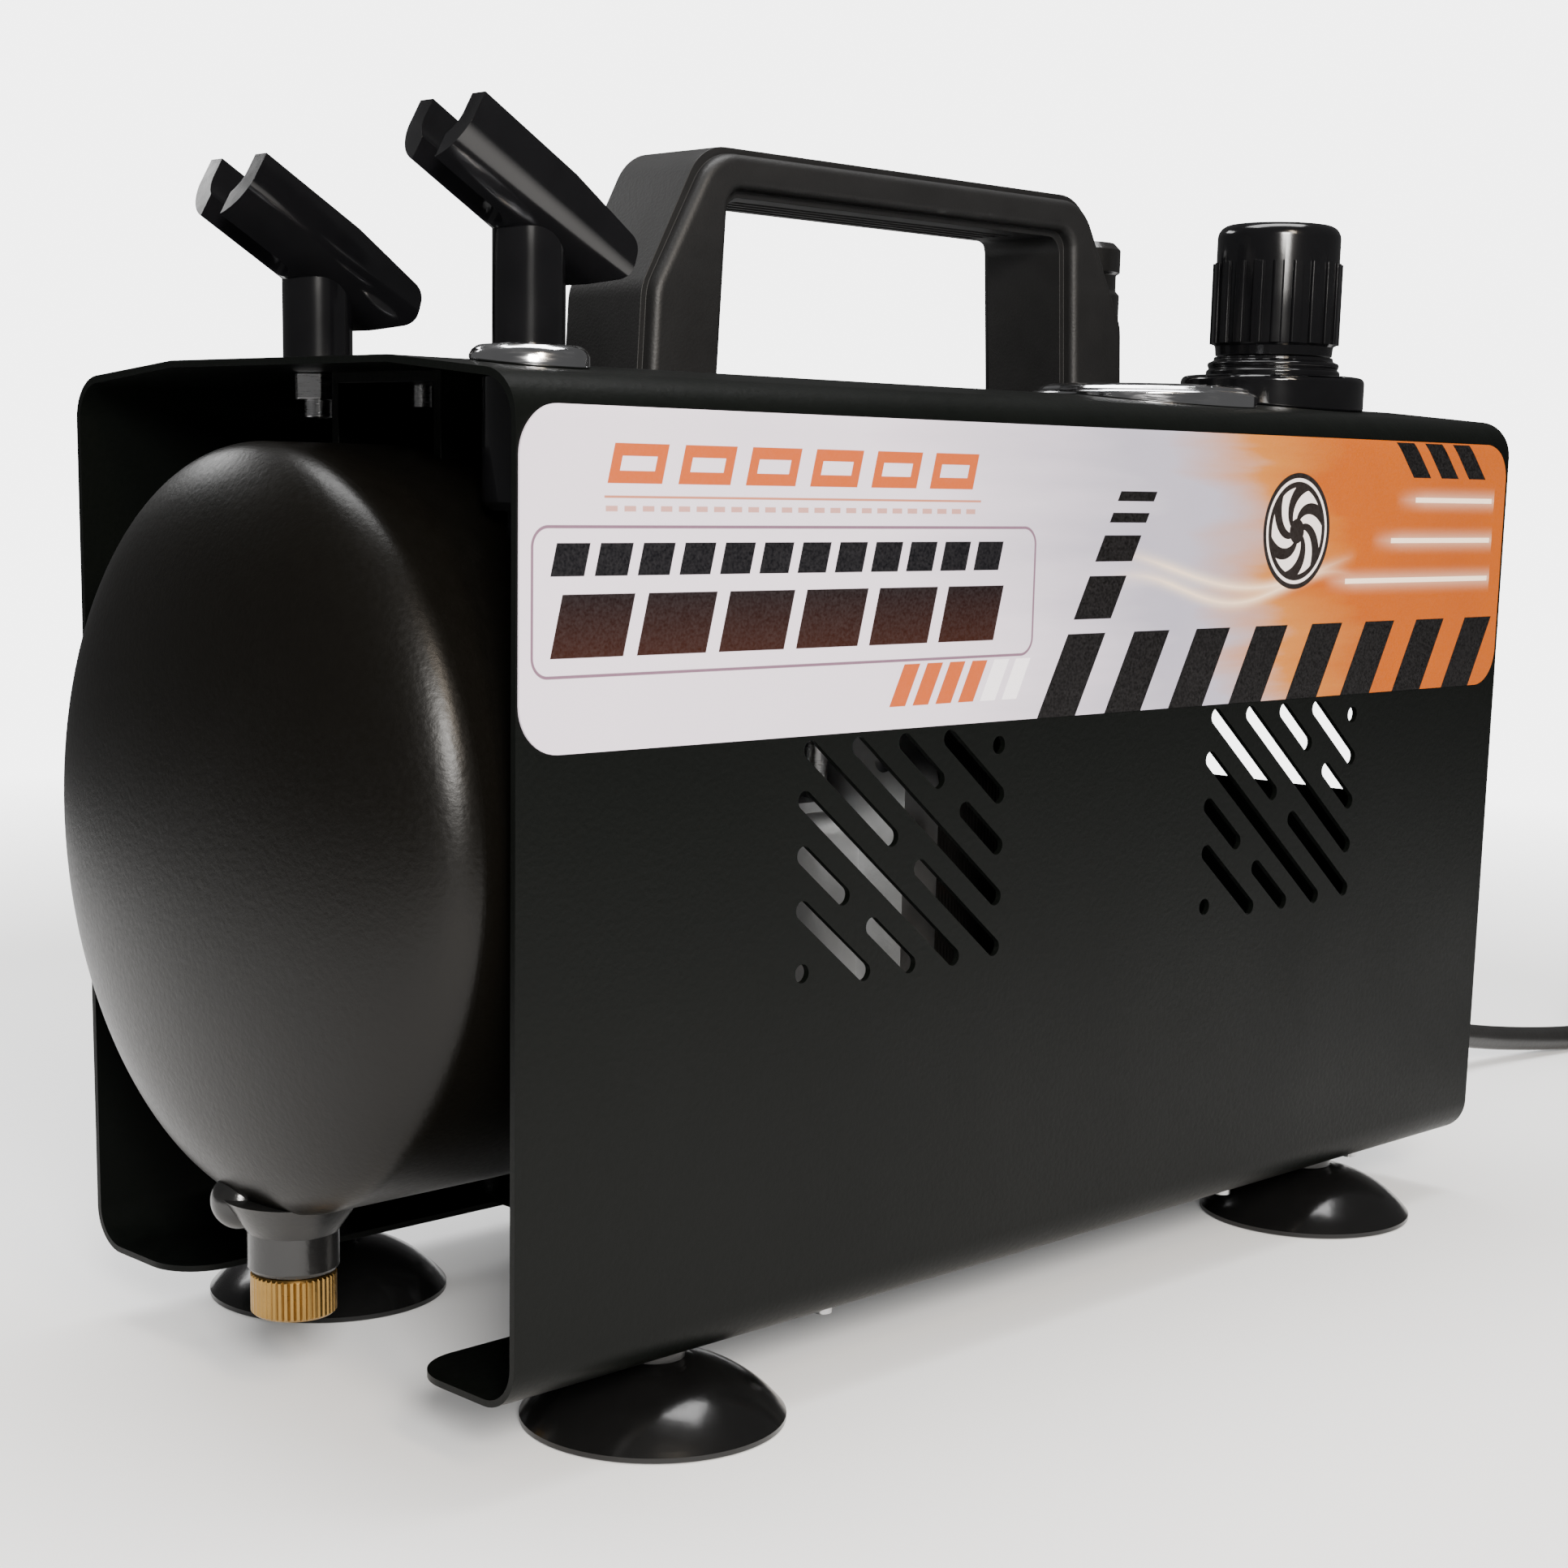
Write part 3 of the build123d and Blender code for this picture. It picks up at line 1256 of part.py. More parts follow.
with BuildPart() as cylinder_sleeve:
    with BuildSketch(Plane.XY.offset(CASE_TOP - 8)):
        with Locations((CYLINDER_X, 0)):
            Circle(CYLINDER_R + 3)
    extrude(amount=SLEEVE_TOP - CASE_TOP + 8)
    with BuildSketch(Plane.XY.offset(CASE_TOP)):
        with Locations((CYLINDER_X, 0)):
            Circle(22)
    extrude(amount=3)
    with BuildSketch(Plane.XY.offset(CASE_TOP - 10)):
        with Locations((CYLINDER_X, 0)):
            Circle(CYLINDER_R)
    extrude(amount=60, mode=Mode.SUBTRACT)
    # cooling fins
    for step in range(3):
        with BuildSketch(Plane.XY.offset(CASE_TOP + 7 + step * 5)):
            with Locations((CYLINDER_X, 0)):
                Circle(22)
                Circle(CYLINDER_R, mode=Mode.SUBTRACT)
        extrude(amount=1.8)
save("cylinder_sleeve", cylinder_sleeve.part)

with BuildPart() as valve_plate:
    with BuildSketch(Plane.XY.offset(SLEEVE_TOP)):
        with Locations((CYLINDER_X, 0)):
            RectangleRounded(HEAD_SIZE, HEAD_SIZE, 5)
        with Locations((CYLINDER_X - 6, 0), (CYLINDER_X + 6, 0)):
            Circle(2.2, mode=Mode.SUBTRACT)
        with Locations(*HEAD_BOLTS):
            Circle(2.5, mode=Mode.SUBTRACT)
    extrude(amount=3)
save("valve_plate", valve_plate.part)

HEAD_LOW = SLEEVE_TOP + 3
PORT_HEAD_X = -30.0
PORT_HEAD_Z = 146.0
with BuildPart() as cylinder_head:
    with BuildSketch(Plane.XY.offset(HEAD_LOW)):
        with Locations((CYLINDER_X, 0)):
            RectangleRounded(42, 42, 4)
    extrude(amount=HEAD_TOP - HEAD_LOW)
    for step in range(5):
        with BuildSketch(Plane.XY.offset(HEAD_LOW + step * 5)):
            with Locations((CYLINDER_X, 0)):
                RectangleRounded(HEAD_SIZE, HEAD_SIZE, 5)
        extrude(amount=2)
    # delivery port on the far side, intake port on the near side
    with BuildSketch(Plane.XZ.offset(-28)):
        with Locations((PORT_HEAD_X, PORT_HEAD_Z)):
            Circle(6)
    extrude(amount=10)
    with BuildSketch(Plane.XZ.offset(18)):
        with Locations((CYLINDER_X - 8, PORT_HEAD_Z)):
            Circle(6)
    extrude(amount=10)
    with BuildSketch(Plane.XY.offset(HEAD_LOW)):
        with Locations(*HEAD_BOLTS):
            Circle(2.5)
    extrude(amount=HEAD_TOP - HEAD_LOW, mode=Mode.SUBTRACT)
save("cylinder_head", cylinder_head.part)

with BuildPart() as head_bolts:
    with BuildSketch(Plane.XY.offset(CASE_TOP - 7.7)):
        with Locations(*HEAD_BOLTS):
            Circle(2.3)
    extrude(amount=HEAD_TOP - CASE_TOP + 7.7)
    with BuildSketch(Plane.XY.offset(HEAD_TOP)):
        with Locations(*HEAD_BOLTS):
            RegularPolygon(4.6, 6)
    extrude(amount=3.6)
save("head_bolts", head_bolts.part)

with BuildPart() as intake_filter:
    with BuildSketch(Plane.XZ.offset(28)):
        with Locations((CYLINDER_X - 8, PORT_HEAD_Z)):
            Circle(11)
    extrude(amount=12)
    fillet(intake_filter.edges().filter_by(GeomType.CIRCLE), 1.8)
save("intake_filter", intake_filter.part)

# ---------------------------------------------------------------- air hoses
HOSE_R = 3.0


def make_hose(points, bend):
    """A hose of straight runs joined by tangent arcs."""
    with BuildPart() as tube:
        with BuildLine() as route:
            FilletPolyline(*points, radius=bend)
        path = route.line
        with BuildSketch(Plane(origin=path @ 0, z_dir=path % 0)):
            Circle(HOSE_R)
        sweep(path=path)
    return tube.part


delivery_hose = make_hose(
    [
        (PORT_HEAD_X, 28, PORT_HEAD_Z),
        (PORT_HEAD_X, 48, PORT_HEAD_Z),
        (-60, 50, 144),
        (-60, 44, 120),
        (-76, 44, 120),
    ],
    7,
)
supply_hose = make_hose(
    [
        (-76, -44, 130),
        (-58, -44, 130),
        (-36, -46, 148),
        (0, -47, 150),
        (38, -46, 149),
        (70, -46, 137),
        (84, REGULATOR[1], PORT_Z),
        (REGULATOR[0] - PORT_REACH, REGULATOR[1], PORT_Z),
    ],
    6,
)
outlet_hose = make_hose(
    [
        (REGULATOR[0], REGULATOR[1] + PORT_REACH, PORT_Z),
        (REGULATOR[0], 22, PORT_Z),
        (OUTLET[0], OUTLET[1], PORT_Z - 4),
        (OUTLET[0], OUTLET[1], 150),
    ],
    6,
)
gauge_hose = make_hose(
    [
        (GAUGE[0], GAUGE[1], ROOF_Z - 38),
        (GAUGE[0], GAUGE[1], 126),
        (92, -53, 124),
        (REGULATOR[0], -59, PORT_Z),
        (REGULATOR[0], REGULATOR[1] - PORT_REACH, PORT_Z),
    ],
    7,
)
air_hoses = Compound(children=[delivery_hose, supply_hose, outlet_hose, gauge_hose])
save("air_hoses", air_hoses)

# ---------------------------------------------------------------- feet
with BuildPart() as feet:
    for place in FOOT_PLACES:
        with BuildSketch(Plane((place[0], place[1], 0), x_dir=(1, 0, 0), z_dir=(0, -1, 0))):
            with BuildLine():
                Polyline((STUD_R, 4.4), (STUD_R, FOOT_HEIGHT), (6.2, FOOT_HEIGHT), (6.6, 13.6),
                         (5.6, 13.0), (5.6, 11.6), (7.4, 11.0))
                ThreePointArc((7.4, 11.0), (17.0, 7.3), (FOOT_R - 0.7, 2.0))
                Polyline((FOOT_R - 0.7, 2.0), (FOOT_R, 1.2), (FOOT_R, 0.3), (FOOT_R - 0.5, 0),
                         (FOOT_R - 3, 0))
                ThreePointArc((FOOT_R - 3, 0), (12, 3.3), (STUD_R, 4.4))
            make_face()
        revolve(axis=Axis((place[0], place[1], 0), (0, 0, 1)))
save("feet", feet.part)

with BuildPart() as foot_bolts:
    with BuildSketch(Plane.XY.offset(6)):
        with Locations(*FOOT_PLACES):
            Circle(STUD_R)
    extrude(amount=18)
    with BuildSketch(Plane.XY.offset(FLOOR_IN)):
        with Locations(*FOOT_PLACES):
            RegularPolygon(4.6, 6)
            Circle(STUD_R, mode=Mode.SUBTRACT)
    extrude(amount=4)
save("foot_bolts", foot_bolts.part)

# ---------------------------------------------------------------- cord bracket and cord
RELIEF_LENGTH = 30.0
BRACKET_FACE = EXIT_X - RELIEF_LENGTH
END_WALL_TOP = 98.0       # an inner wall closes the lower half of the cord end
END_WALL_HALF = 56.8
with BuildPart() as cord_bracket:
    with BuildSketch(Plane.XY.offset(FLOOR_IN)):
        with Locations((CORD_BRACKET_X + 2, 0)):
            Rectangle(14, COVER_WIDTH - 2 * SHEET - 14)
        with Locations(*BRACKET_FOOT_SCREWS):
            Circle(2.0, mode=Mode.SUBTRACT)
    extrude(amount=PLATE_T)
    with BuildSketch(across(BRACKET_FACE - 1.5)):
        with Locations((0, (FLOOR_IN + END_WALL_TOP) / 2)):
            Rectangle(2 * END_WALL_HALF, END_WALL_TOP - FLOOR_IN)
        with Locations((EXIT_Y, EXIT_Z)):
            Circle(6.0, mode=Mode.SUBTRACT)
    extrude(amount=1.5)
    fillet(cord_bracket.edges().filter_by(Axis.X).group_by(Axis.Z)[-1], 5)
save("cord_bracket", cord_bracket.part)

RELIEF_AXIS = Axis((0, EXIT_Y, EXIT_Z), (1, 0, 0))
with BuildPart() as strain_relief:
    with BuildSketch(Plane((0, EXIT_Y, EXIT_Z), x_dir=(1, 0, 0), z_dir=(0, -1, 0))):
        turned(
            [
                (BRACKET_FACE - 6, 0),
                (BRACKET_FACE - 6, 7.5),
                (BRACKET_FACE - 1.5, 7.5),
                (BRACKET_FACE - 1.5, 6.0),
                (BRACKET_FACE, 6.0),
                (BRACKET_FACE, 8.5),
                (BRACKET_FACE + 3, 8.5),
                (BRACKET_FACE + 4.5, 6.6),
                (EXIT_X, 4.6),
                (EXIT_X, 0),
            ]
        )
    revolve(axis=RELIEF_AXIS)
save("strain_relief", strain_relief.part)

COIL_OUTER_R = COIL_MEAN_R + COIL_HALF_BAND
CORD_ROUTE = [
    Vector(EXIT_X, EXIT_Y, EXIT_Z),
    Vector(194, 9.5, 27.5),
    Vector(238, 10, 18.5),
    Vector(281, 7.5, 8.5),
    Vector(319, 1.0, 3.9),
    Vector(338, -3.0, CORD_R),
]


def cord_radii(route):
    """The largest arc that each corner's two runs allow."""
    radii = []
    for before, corner, after in zip(route, route[1:], route[2:]):
        turn = (corner - before).get_angle(after - corner)
        shorter = min((corner - before).length, (after - corner).length)
        radii.append(0.45 * shorter / tan(radians(turn / 2)))
    return radii


CORD_RADII = cord_radii(CORD_ROUTE)
with BuildPart() as mains_cord:
    with BuildLine() as cord_line:
        FilletPolyline(*CORD_ROUTE, radius=CORD_RADII)
    cord_path = cord_line.line
    with BuildSketch(Plane(origin=cord_path @ 0, z_dir=cord_path % 0)):
        Circle(CORD_R)
    sweep(path=cord_path)
save("mains_cord", mains_cord.part)

# coil: its outer shape, with the tail that leaves it for the plug
TAIL_START = Vector(COIL_X - 14, COIL_Y - COIL_OUTER_R, 2 * CORD_R * COIL_LAYERS - CORD_R - 1.0)
RELIEF_TIP = Vector(COIL_X - 44, COIL_Y - COIL_OUTER_R, PLUG_Z)
with BuildPart() as mains_cord_coil:
    with BuildSketch(Plane.XY):
        with Locations((COIL_X, COIL_Y)):
            Circle(COIL_OUTER_R + CORD_R)
            Circle(COIL_MEAN_R - COIL_HALF_BAND - CORD_R, mode=Mode.SUBTRACT)
    extrude(amount=2 * CORD_R * COIL_LAYERS)
    with BuildSketch(Plane(origin=TAIL_START, z_dir=RELIEF_TIP - TAIL_START)):
        Circle(CORD_R)
    extrude(amount=(RELIEF_TIP - TAIL_START).length)
save("mains_cord_coil", mains_cord_coil.part)

PLUG_RELIEF = 24.0
PLUG_LENGTH = 34.0
PLUG_R = 12.8
PLUG_BACK = RELIEF_TIP.X - PLUG_RELIEF
PLUG_FACE = PLUG_BACK - PLUG_LENGTH
PLUG_AXIS = Axis((0, RELIEF_TIP.Y, PLUG_Z), (1, 0, 0))
with BuildPart() as mains_plug:
    with BuildSketch(Plane((0, RELIEF_TIP.Y, PLUG_Z), x_dir=(1, 0, 0), z_dir=(0, -1, 0))):
        turned(
            [
                (RELIEF_TIP.X + 1, 0),
                (RELIEF_TIP.X + 1, 4.4),
                (PLUG_BACK, 6.2),
                (PLUG_BACK - 4, 8.5),
                (PLUG_FACE + 14, PLUG_R - 1.2),
                (PLUG_FACE + 5, PLUG_R),
                (PLUG_FACE, PLUG_R),
                (PLUG_FACE, 0),
            ]
        )
    revolve(axis=PLUG_AXIS)
    # two blades and an earth pin
    with BuildSketch(across(PLUG_FACE - 16)):
        with Locations((RELIEF_TIP.Y - 6.35, PLUG_Z + 3), (RELIEF_TIP.Y + 6.35, PLUG_Z + 3)):
            Rectangle(1.5, 6.3)
        with Locations((RELIEF_TIP.Y, PLUG_Z - 7)):
            Circle(2.4)
    extrude(amount=16)
save("mains_plug", mains_plug.part)

TUBE_LENGTH = sum(edge.length for edge in cord_line.edges())
print(len(WRITTEN), "pieces written")
print("cord bend radii", [round(r, 1) for r in CORD_RADII])
print("cord tube length", round(TUBE_LENGTH, 1))
print("cord tube volume", round(mains_cord.part.volume), "of", round(pi * CORD_R**2 * TUBE_LENGTH))
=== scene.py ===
"""Looks of the airbrush compressor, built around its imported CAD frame. Lengths are in metres."""

import json
from math import cos, pi, radians, sin

import bmesh
import bpy
from mathutils import Matrix, Vector

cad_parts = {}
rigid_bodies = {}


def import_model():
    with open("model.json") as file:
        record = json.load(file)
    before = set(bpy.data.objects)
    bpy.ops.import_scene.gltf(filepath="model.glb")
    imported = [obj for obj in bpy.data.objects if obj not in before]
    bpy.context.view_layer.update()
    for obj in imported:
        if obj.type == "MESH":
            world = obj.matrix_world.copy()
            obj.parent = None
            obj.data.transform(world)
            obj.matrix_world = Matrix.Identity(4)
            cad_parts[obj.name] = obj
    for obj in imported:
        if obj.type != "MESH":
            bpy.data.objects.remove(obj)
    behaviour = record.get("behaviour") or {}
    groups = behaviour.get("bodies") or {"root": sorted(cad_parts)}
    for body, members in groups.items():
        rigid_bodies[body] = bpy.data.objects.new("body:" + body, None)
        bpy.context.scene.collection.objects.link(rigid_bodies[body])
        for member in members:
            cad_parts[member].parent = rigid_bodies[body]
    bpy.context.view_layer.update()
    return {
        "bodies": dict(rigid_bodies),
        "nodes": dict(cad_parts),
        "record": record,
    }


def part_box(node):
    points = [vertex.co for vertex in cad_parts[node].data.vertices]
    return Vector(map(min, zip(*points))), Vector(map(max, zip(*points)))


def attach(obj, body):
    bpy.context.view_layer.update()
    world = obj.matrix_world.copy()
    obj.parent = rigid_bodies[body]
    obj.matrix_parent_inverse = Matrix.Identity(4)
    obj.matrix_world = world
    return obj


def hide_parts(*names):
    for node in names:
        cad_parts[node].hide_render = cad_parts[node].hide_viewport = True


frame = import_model()
NODES = frame["nodes"]
MM = 0.001


# ---------------------------------------------------------------- camera
CAMERA_PLACE = (-0.39038, -0.38149, 0.16646)
CAMERA_RIGHT = Vector((0.70894, -0.70496, 0.02090))
CAMERA_UP = Vector((0.10962, 0.13925, 0.98417))
CAMERA_LENS = 59.87
CAMERA_SHIFT = (-0.0050, 0.1015)


def make_camera():
    """The photograph's camera: eye a little below the roof, facing the near corner."""
    back = CAMERA_RIGHT.cross(CAMERA_UP)
    data = bpy.data.cameras.new("camera")
    data.sensor_width = 36.0
    data.lens = CAMERA_LENS
    data.shift_x, data.shift_y = CAMERA_SHIFT
    data.clip_start = 0.01
    data.clip_end = 60.0
    camera = bpy.data.objects.new("camera", data)
    turn = Matrix((CAMERA_RIGHT, CAMERA_UP, back)).transposed().to_4x4()
    camera.matrix_world = Matrix.Translation(CAMERA_PLACE) @ turn
    bpy.context.scene.collection.objects.link(camera)
    bpy.context.scene.camera = camera


make_camera()

# ---------------------------------------------------------------- mains cord
CORD_R = 3.5 * MM
CORD_EXIT = (0.155, 0.008, 0.031)
CORD_ROUTE = [
    CORD_EXIT,
    (0.194, 0.0095, 0.0275),
    (0.238, 0.010, 0.0185),
    (0.281, 0.0075, 0.0085),
    (0.319, 0.001, 0.0039),
    (0.338, -0.003, 0.0035),
]
COIL_CENTRE = Vector((0.352, -0.050, 0.0))
COIL_OUTER_R = 0.0442
COIL_INNER_R = 0.0328
COIL_LAYERS = 4
COIL_TURNS = 6.5
POINTS_PER_TURN = 16
LAYER_CLIMB = 0.18      # part of a turn in which the cord steps up to the next layer
COIL_TO_PLUG = [
    (0.340, -0.0946, 0.0243),
    (0.328, -0.0944, 0.0205),
    (0.317, -0.0942, 0.0155),
    (0.308, -0.0942, 0.013),
]


def coil_points():
    """The put-away coil: spiral layers, each lying on the last, wound clockwise from its far side."""
    points = []
    per_layer = COIL_TURNS / COIL_LAYERS
    count = int(COIL_TURNS * POINTS_PER_TURN)
    for step in range(1, count + 1):
        turns = step / POINTS_PER_TURN
        layer = min(COIL_LAYERS - 1, int(turns / per_layer))
        part = turns / per_layer - layer
        inward = part if layer % 2 == 0 else 1 - part
        radius = COIL_OUTER_R + (COIL_INNER_R - COIL_OUTER_R) * inward
        climb = min(1.0, part * per_layer / LAYER_CLIMB) if layer else 1.0
        height = CORD_R * (2 * (layer + climb) - 1)
        angle = pi / 2 - 2 * pi * turns
        points.append(COIL_CENTRE + Vector((radius * cos(angle), radius * sin(angle), height)))
    return points


def make_cord(material):
    """One NURBS line from the strain relief, over the floor, round the coil and into the plug."""
    points = [*CORD_ROUTE, *coil_points(), *COIL_TO_PLUG]
    data = bpy.data.curves.new("cord", "CURVE")
    data.dimensions = "3D"
    data.bevel_depth = CORD_R
    data.bevel_resolution = 6
    data.use_fill_caps = True
    data.resolution_u = 8
    spline = data.splines.new("NURBS")
    spline.points.add(len(points) - 1)
    for slot, point in zip(spline.points, points):
        slot.co = (*point, 1.0)
    spline.order_u = 3
    spline.use_endpoint_u = True
    spline.use_smooth = True
    cord = bpy.data.objects.new("mains_cord_line", data)
    bpy.context.scene.collection.objects.link(cord)
    data.materials.append(material)
    return cord


# ---------------------------------------------------------------- material kit
class Paint:
    """A Principled material, with short calls for the nodes that shape it."""

    def __init__(self, name, colour, rough, metal=0.0, coat=0.0, coat_rough=0.1, level=0.5):
        self.material = bpy.data.materials.new(name)
        self.material.use_nodes = True
        self.tree = self.material.node_tree
        self.shader = self.tree.nodes["Principled BSDF"]
        self.shader.inputs["Base Color"].default_value = (*colour, 1.0)
        self.shader.inputs["Roughness"].default_value = rough
        self.shader.inputs["Metallic"].default_value = metal
        self.shader.inputs["Coat Weight"].default_value = coat
        self.shader.inputs["Coat Roughness"].default_value = coat_rough
        self.shader.inputs["Specular IOR Level"].default_value = level
        self.height = None
        self.place = self.node("ShaderNodeTexCoord").outputs["Object"]

    def node(self, kind, **settings):
        made = self.tree.nodes.new(kind)
        for key, value in settings.items():
            setattr(made, key, value)
        return made

    def link(self, source, target):
        self.tree.links.new(source, target)

    def feed(self, target, value):
        """Links a socket, or sets a number or colour."""
        if isinstance(value, bpy.types.NodeSocket):
            self.link(value, target)
        else:
            target.default_value = value

    def math(self, what, *values, clamp=False):
        made = self.node("ShaderNodeMath", operation=what, use_clamp=clamp)
        for target, value in zip(made.inputs, values):
            self.feed(target, value)
        return made.outputs[0]

    def stretched(self, scale):
        """The place, scaled differently along each axis, for brushed or streaky patterns."""
        made = self.node("ShaderNodeMapping")
        self.link(self.place, made.inputs["Vector"])
        made.inputs["Scale"].default_value = scale
        return made.outputs["Vector"]

    def noise(self, size, detail=2.0, place=None):
        """Noise from 0 to 1, with features about size metres across."""
        made = self.node("ShaderNodeTexNoise")
        self.link(place or self.place, made.inputs["Vector"])
        made.inputs["Scale"].default_value = 1.0 / size
        made.inputs["Detail"].default_value = detail
        return made.outputs["Fac"]

    def cells(self, size):
        """Distance to the nearest of many scattered points, about size metres apart."""
        made = self.node("ShaderNodeTexVoronoi")
        self.link(self.place, made.inputs["Vector"])
        made.inputs["Scale"].default_value = 1.0 / size
        return made.outputs["Distance"]

    def remap(self, value, low, high, to_low, to_high):
        made = self.node("ShaderNodeMapRange")
        for target, number in zip(made.inputs, (value, low, high, to_low, to_high)):
            self.feed(target, number)
        return made.outputs["Result"]

    def mix(self, factor, first, second):
        made = self.node("ShaderNodeMix", data_type="RGBA")
        self.feed(made.inputs["Factor"], factor)
        self.feed(made.inputs["A"], first)
        self.feed(made.inputs["B"], second)
        return made.outputs["Result"]

    def set_colour(self, value):
        self.feed(self.shader.inputs["Base Color"], value)

    def set_rough(self, value):
        self.feed(self.shader.inputs["Roughness"], value)

    def bump(self, value, depth):
        """Adds a height in metres on top of what is there."""
        made = self.node("ShaderNodeBump")
        made.inputs["Distance"].default_value = depth
        self.link(value, made.inputs["Height"])
        if self.height is not None:
            self.link(self.height, made.inputs["Normal"])
        self.height = made.outputs["Normal"]
        self.link(self.height, self.shader.inputs["Normal"])

    def up_facing(self):
        """1 on faces that look up, 0 on the others."""
        made = self.node("ShaderNodeSeparateXYZ")
        self.link(self.node("ShaderNodeNewGeometry").outputs["Normal"], made.inputs[0])
        return self.math("MAXIMUM", made.outputs["Z"], 0.0)


def powder_coat(name, colour, rough, level=0.5):
    """Black powder coat: fine orange peel, faint dust on what faces up, slight unevenness."""
    paint = Paint(name, colour, rough, level=level)
    cloud = paint.noise(0.045, detail=3.0)
    grain = paint.noise(0.0009, detail=3.0)
    paint.set_rough(paint.remap(paint.math("ADD", cloud, grain), 0.6, 1.4, rough - 0.05, rough + 0.06))
    dust = paint.math("MULTIPLY", paint.up_facing(), paint.noise(0.004, detail=4.0))
    lighter = tuple(min(1.0, c * 1.8 + 0.003) for c in colour)
    paint.set_colour(paint.mix(paint.math("MULTIPLY", dust, 0.5), (*colour, 1.0), (*lighter, 1.0)))
    paint.bump(paint.noise(0.0011, detail=1.5), 0.00004)
    paint.bump(paint.noise(0.0003, detail=2.0), 0.000012)
    return paint.material


def moulded(name, colour, rough, grain, depth, coat=0.0, level=0.5):
    """Injection-moulded plastic, from nearly smooth to leather-like grain."""
    paint = Paint(name, colour, rough, coat=coat, coat_rough=0.12, level=level)
    cloud = paint.noise(0.02, detail=3.0)
    paint.set_rough(paint.remap(cloud, 0.3, 0.7, rough - 0.04, rough + 0.05))
    lighter = tuple(c * 1.6 + 0.001 for c in colour)
    paint.set_colour(paint.mix(paint.noise(0.006, detail=4.0), (*colour, 1.0), (*lighter, 1.0)))
    paint.bump(paint.cells(grain), depth)
    paint.bump(paint.noise(grain * 0.5, detail=3.0), depth * 0.6)
    return paint.material


def machined(name, colour, rough, streak=(1.0, 1.0, 40.0)):
    """Turned, plated or drawn metal with fine streaks and slight tarnish."""
    paint = Paint(name, colour, rough, metal=1.0)
    fine = paint.noise(0.004, detail=4.0, place=paint.stretched(streak))
    tarnish = paint.noise(0.012, detail=5.0)
    darker = tuple(c * 0.72 for c in colour)
    paint.set_colour(paint.mix(paint.remap(tarnish, 0.45, 0.75, 0.0, 0.8), (*colour, 1.0), (*darker, 1.0)))
    paint.set_rough(paint.remap(fine, 0.3, 0.7, rough - 0.07, rough + 0.1))
    paint.bump(fine, 0.000012)
    return paint.material


def cast_metal(name, colour, rough):
    """Die-cast aluminium: a sandy skin with darker, oily patches."""
    paint = Paint(name, colour, rough, metal=1.0)
    patches = paint.noise(0.014, detail=5.0)
    darker = tuple(c * 0.6 for c in colour)
    paint.set_colour(paint.mix(paint.remap(patches, 0.4, 0.75, 0.0, 0.7), (*colour, 1.0), (*darker, 1.0)))
    paint.set_rough(paint.remap(patches, 0.3, 0.7, rough - 0.06, rough + 0.12))
    paint.bump(paint.noise(0.0012, detail=4.0), 0.00008)
    return paint.material


def laminations():
    """A stack of varnished motor sheets, 0.5 mm each, seen as fine bands across the shaft; their dark
    varnish colour is darkened further as painted shade of the cover's unlit inside.
    """
    # painted shade: the sheets' dark varnish colour is made darker still, standing in for the shade inside
    # the cover
    varnish_and_painted_shade = (0.030, 0.028, 0.026)
    paint = Paint("lamination", varnish_and_painted_shade, 0.48, metal=0.8, level=0.3)
    band = paint.node("ShaderNodeTexWave", wave_type="BANDS", bands_direction="X")
    paint.link(paint.place, band.inputs["Vector"])
    band.inputs["Scale"].default_value = 320.0
    band.inputs["Distortion"].default_value = 0.3
    paint.bump(band.outputs["Fac"], 0.00006)
    rust = paint.remap(paint.noise(0.01, detail=5.0), 0.55, 0.8, 0.0, 0.5)
    paint.set_colour(paint.mix(rust, (*varnish_and_painted_shade, 1.0), (0.060, 0.028, 0.012, 1.0)))
    return paint.material


def wound_wire():
    """Varnished copper windings: fine turns round the shaft's axis."""
    copper = (0.36, 0.12, 0.04)
    paint = Paint("enamelled_wire", copper, 0.3, metal=0.7, coat=0.4)
    paint.bump(paint.cells(0.0011), 0.0002)
    paint.set_colour(paint.mix(paint.noise(0.006), (*copper, 1.0), (0.20, 0.06, 0.02, 1.0)))
    return paint.material


def clear_glass():
    """The gauge's clear window, very slightly uneven."""
    paint = Paint("clear_glass", (0.95, 0.97, 0.97), 0.03)
    paint.shader.inputs["Transmission Weight"].default_value = 1.0
    paint.shader.inputs["IOR"].default_value = 1.49
    paint.bump(paint.noise(0.01, detail=1.0), 0.00001)
    return paint.material


SCALE_START = 225.0     # direction of the zero mark, in degrees from +x
SCALE_SWEEP = 271.0     # a degree past the last tick
RED_FROM = 216.0
TICK_OUTER_R = 0.0152


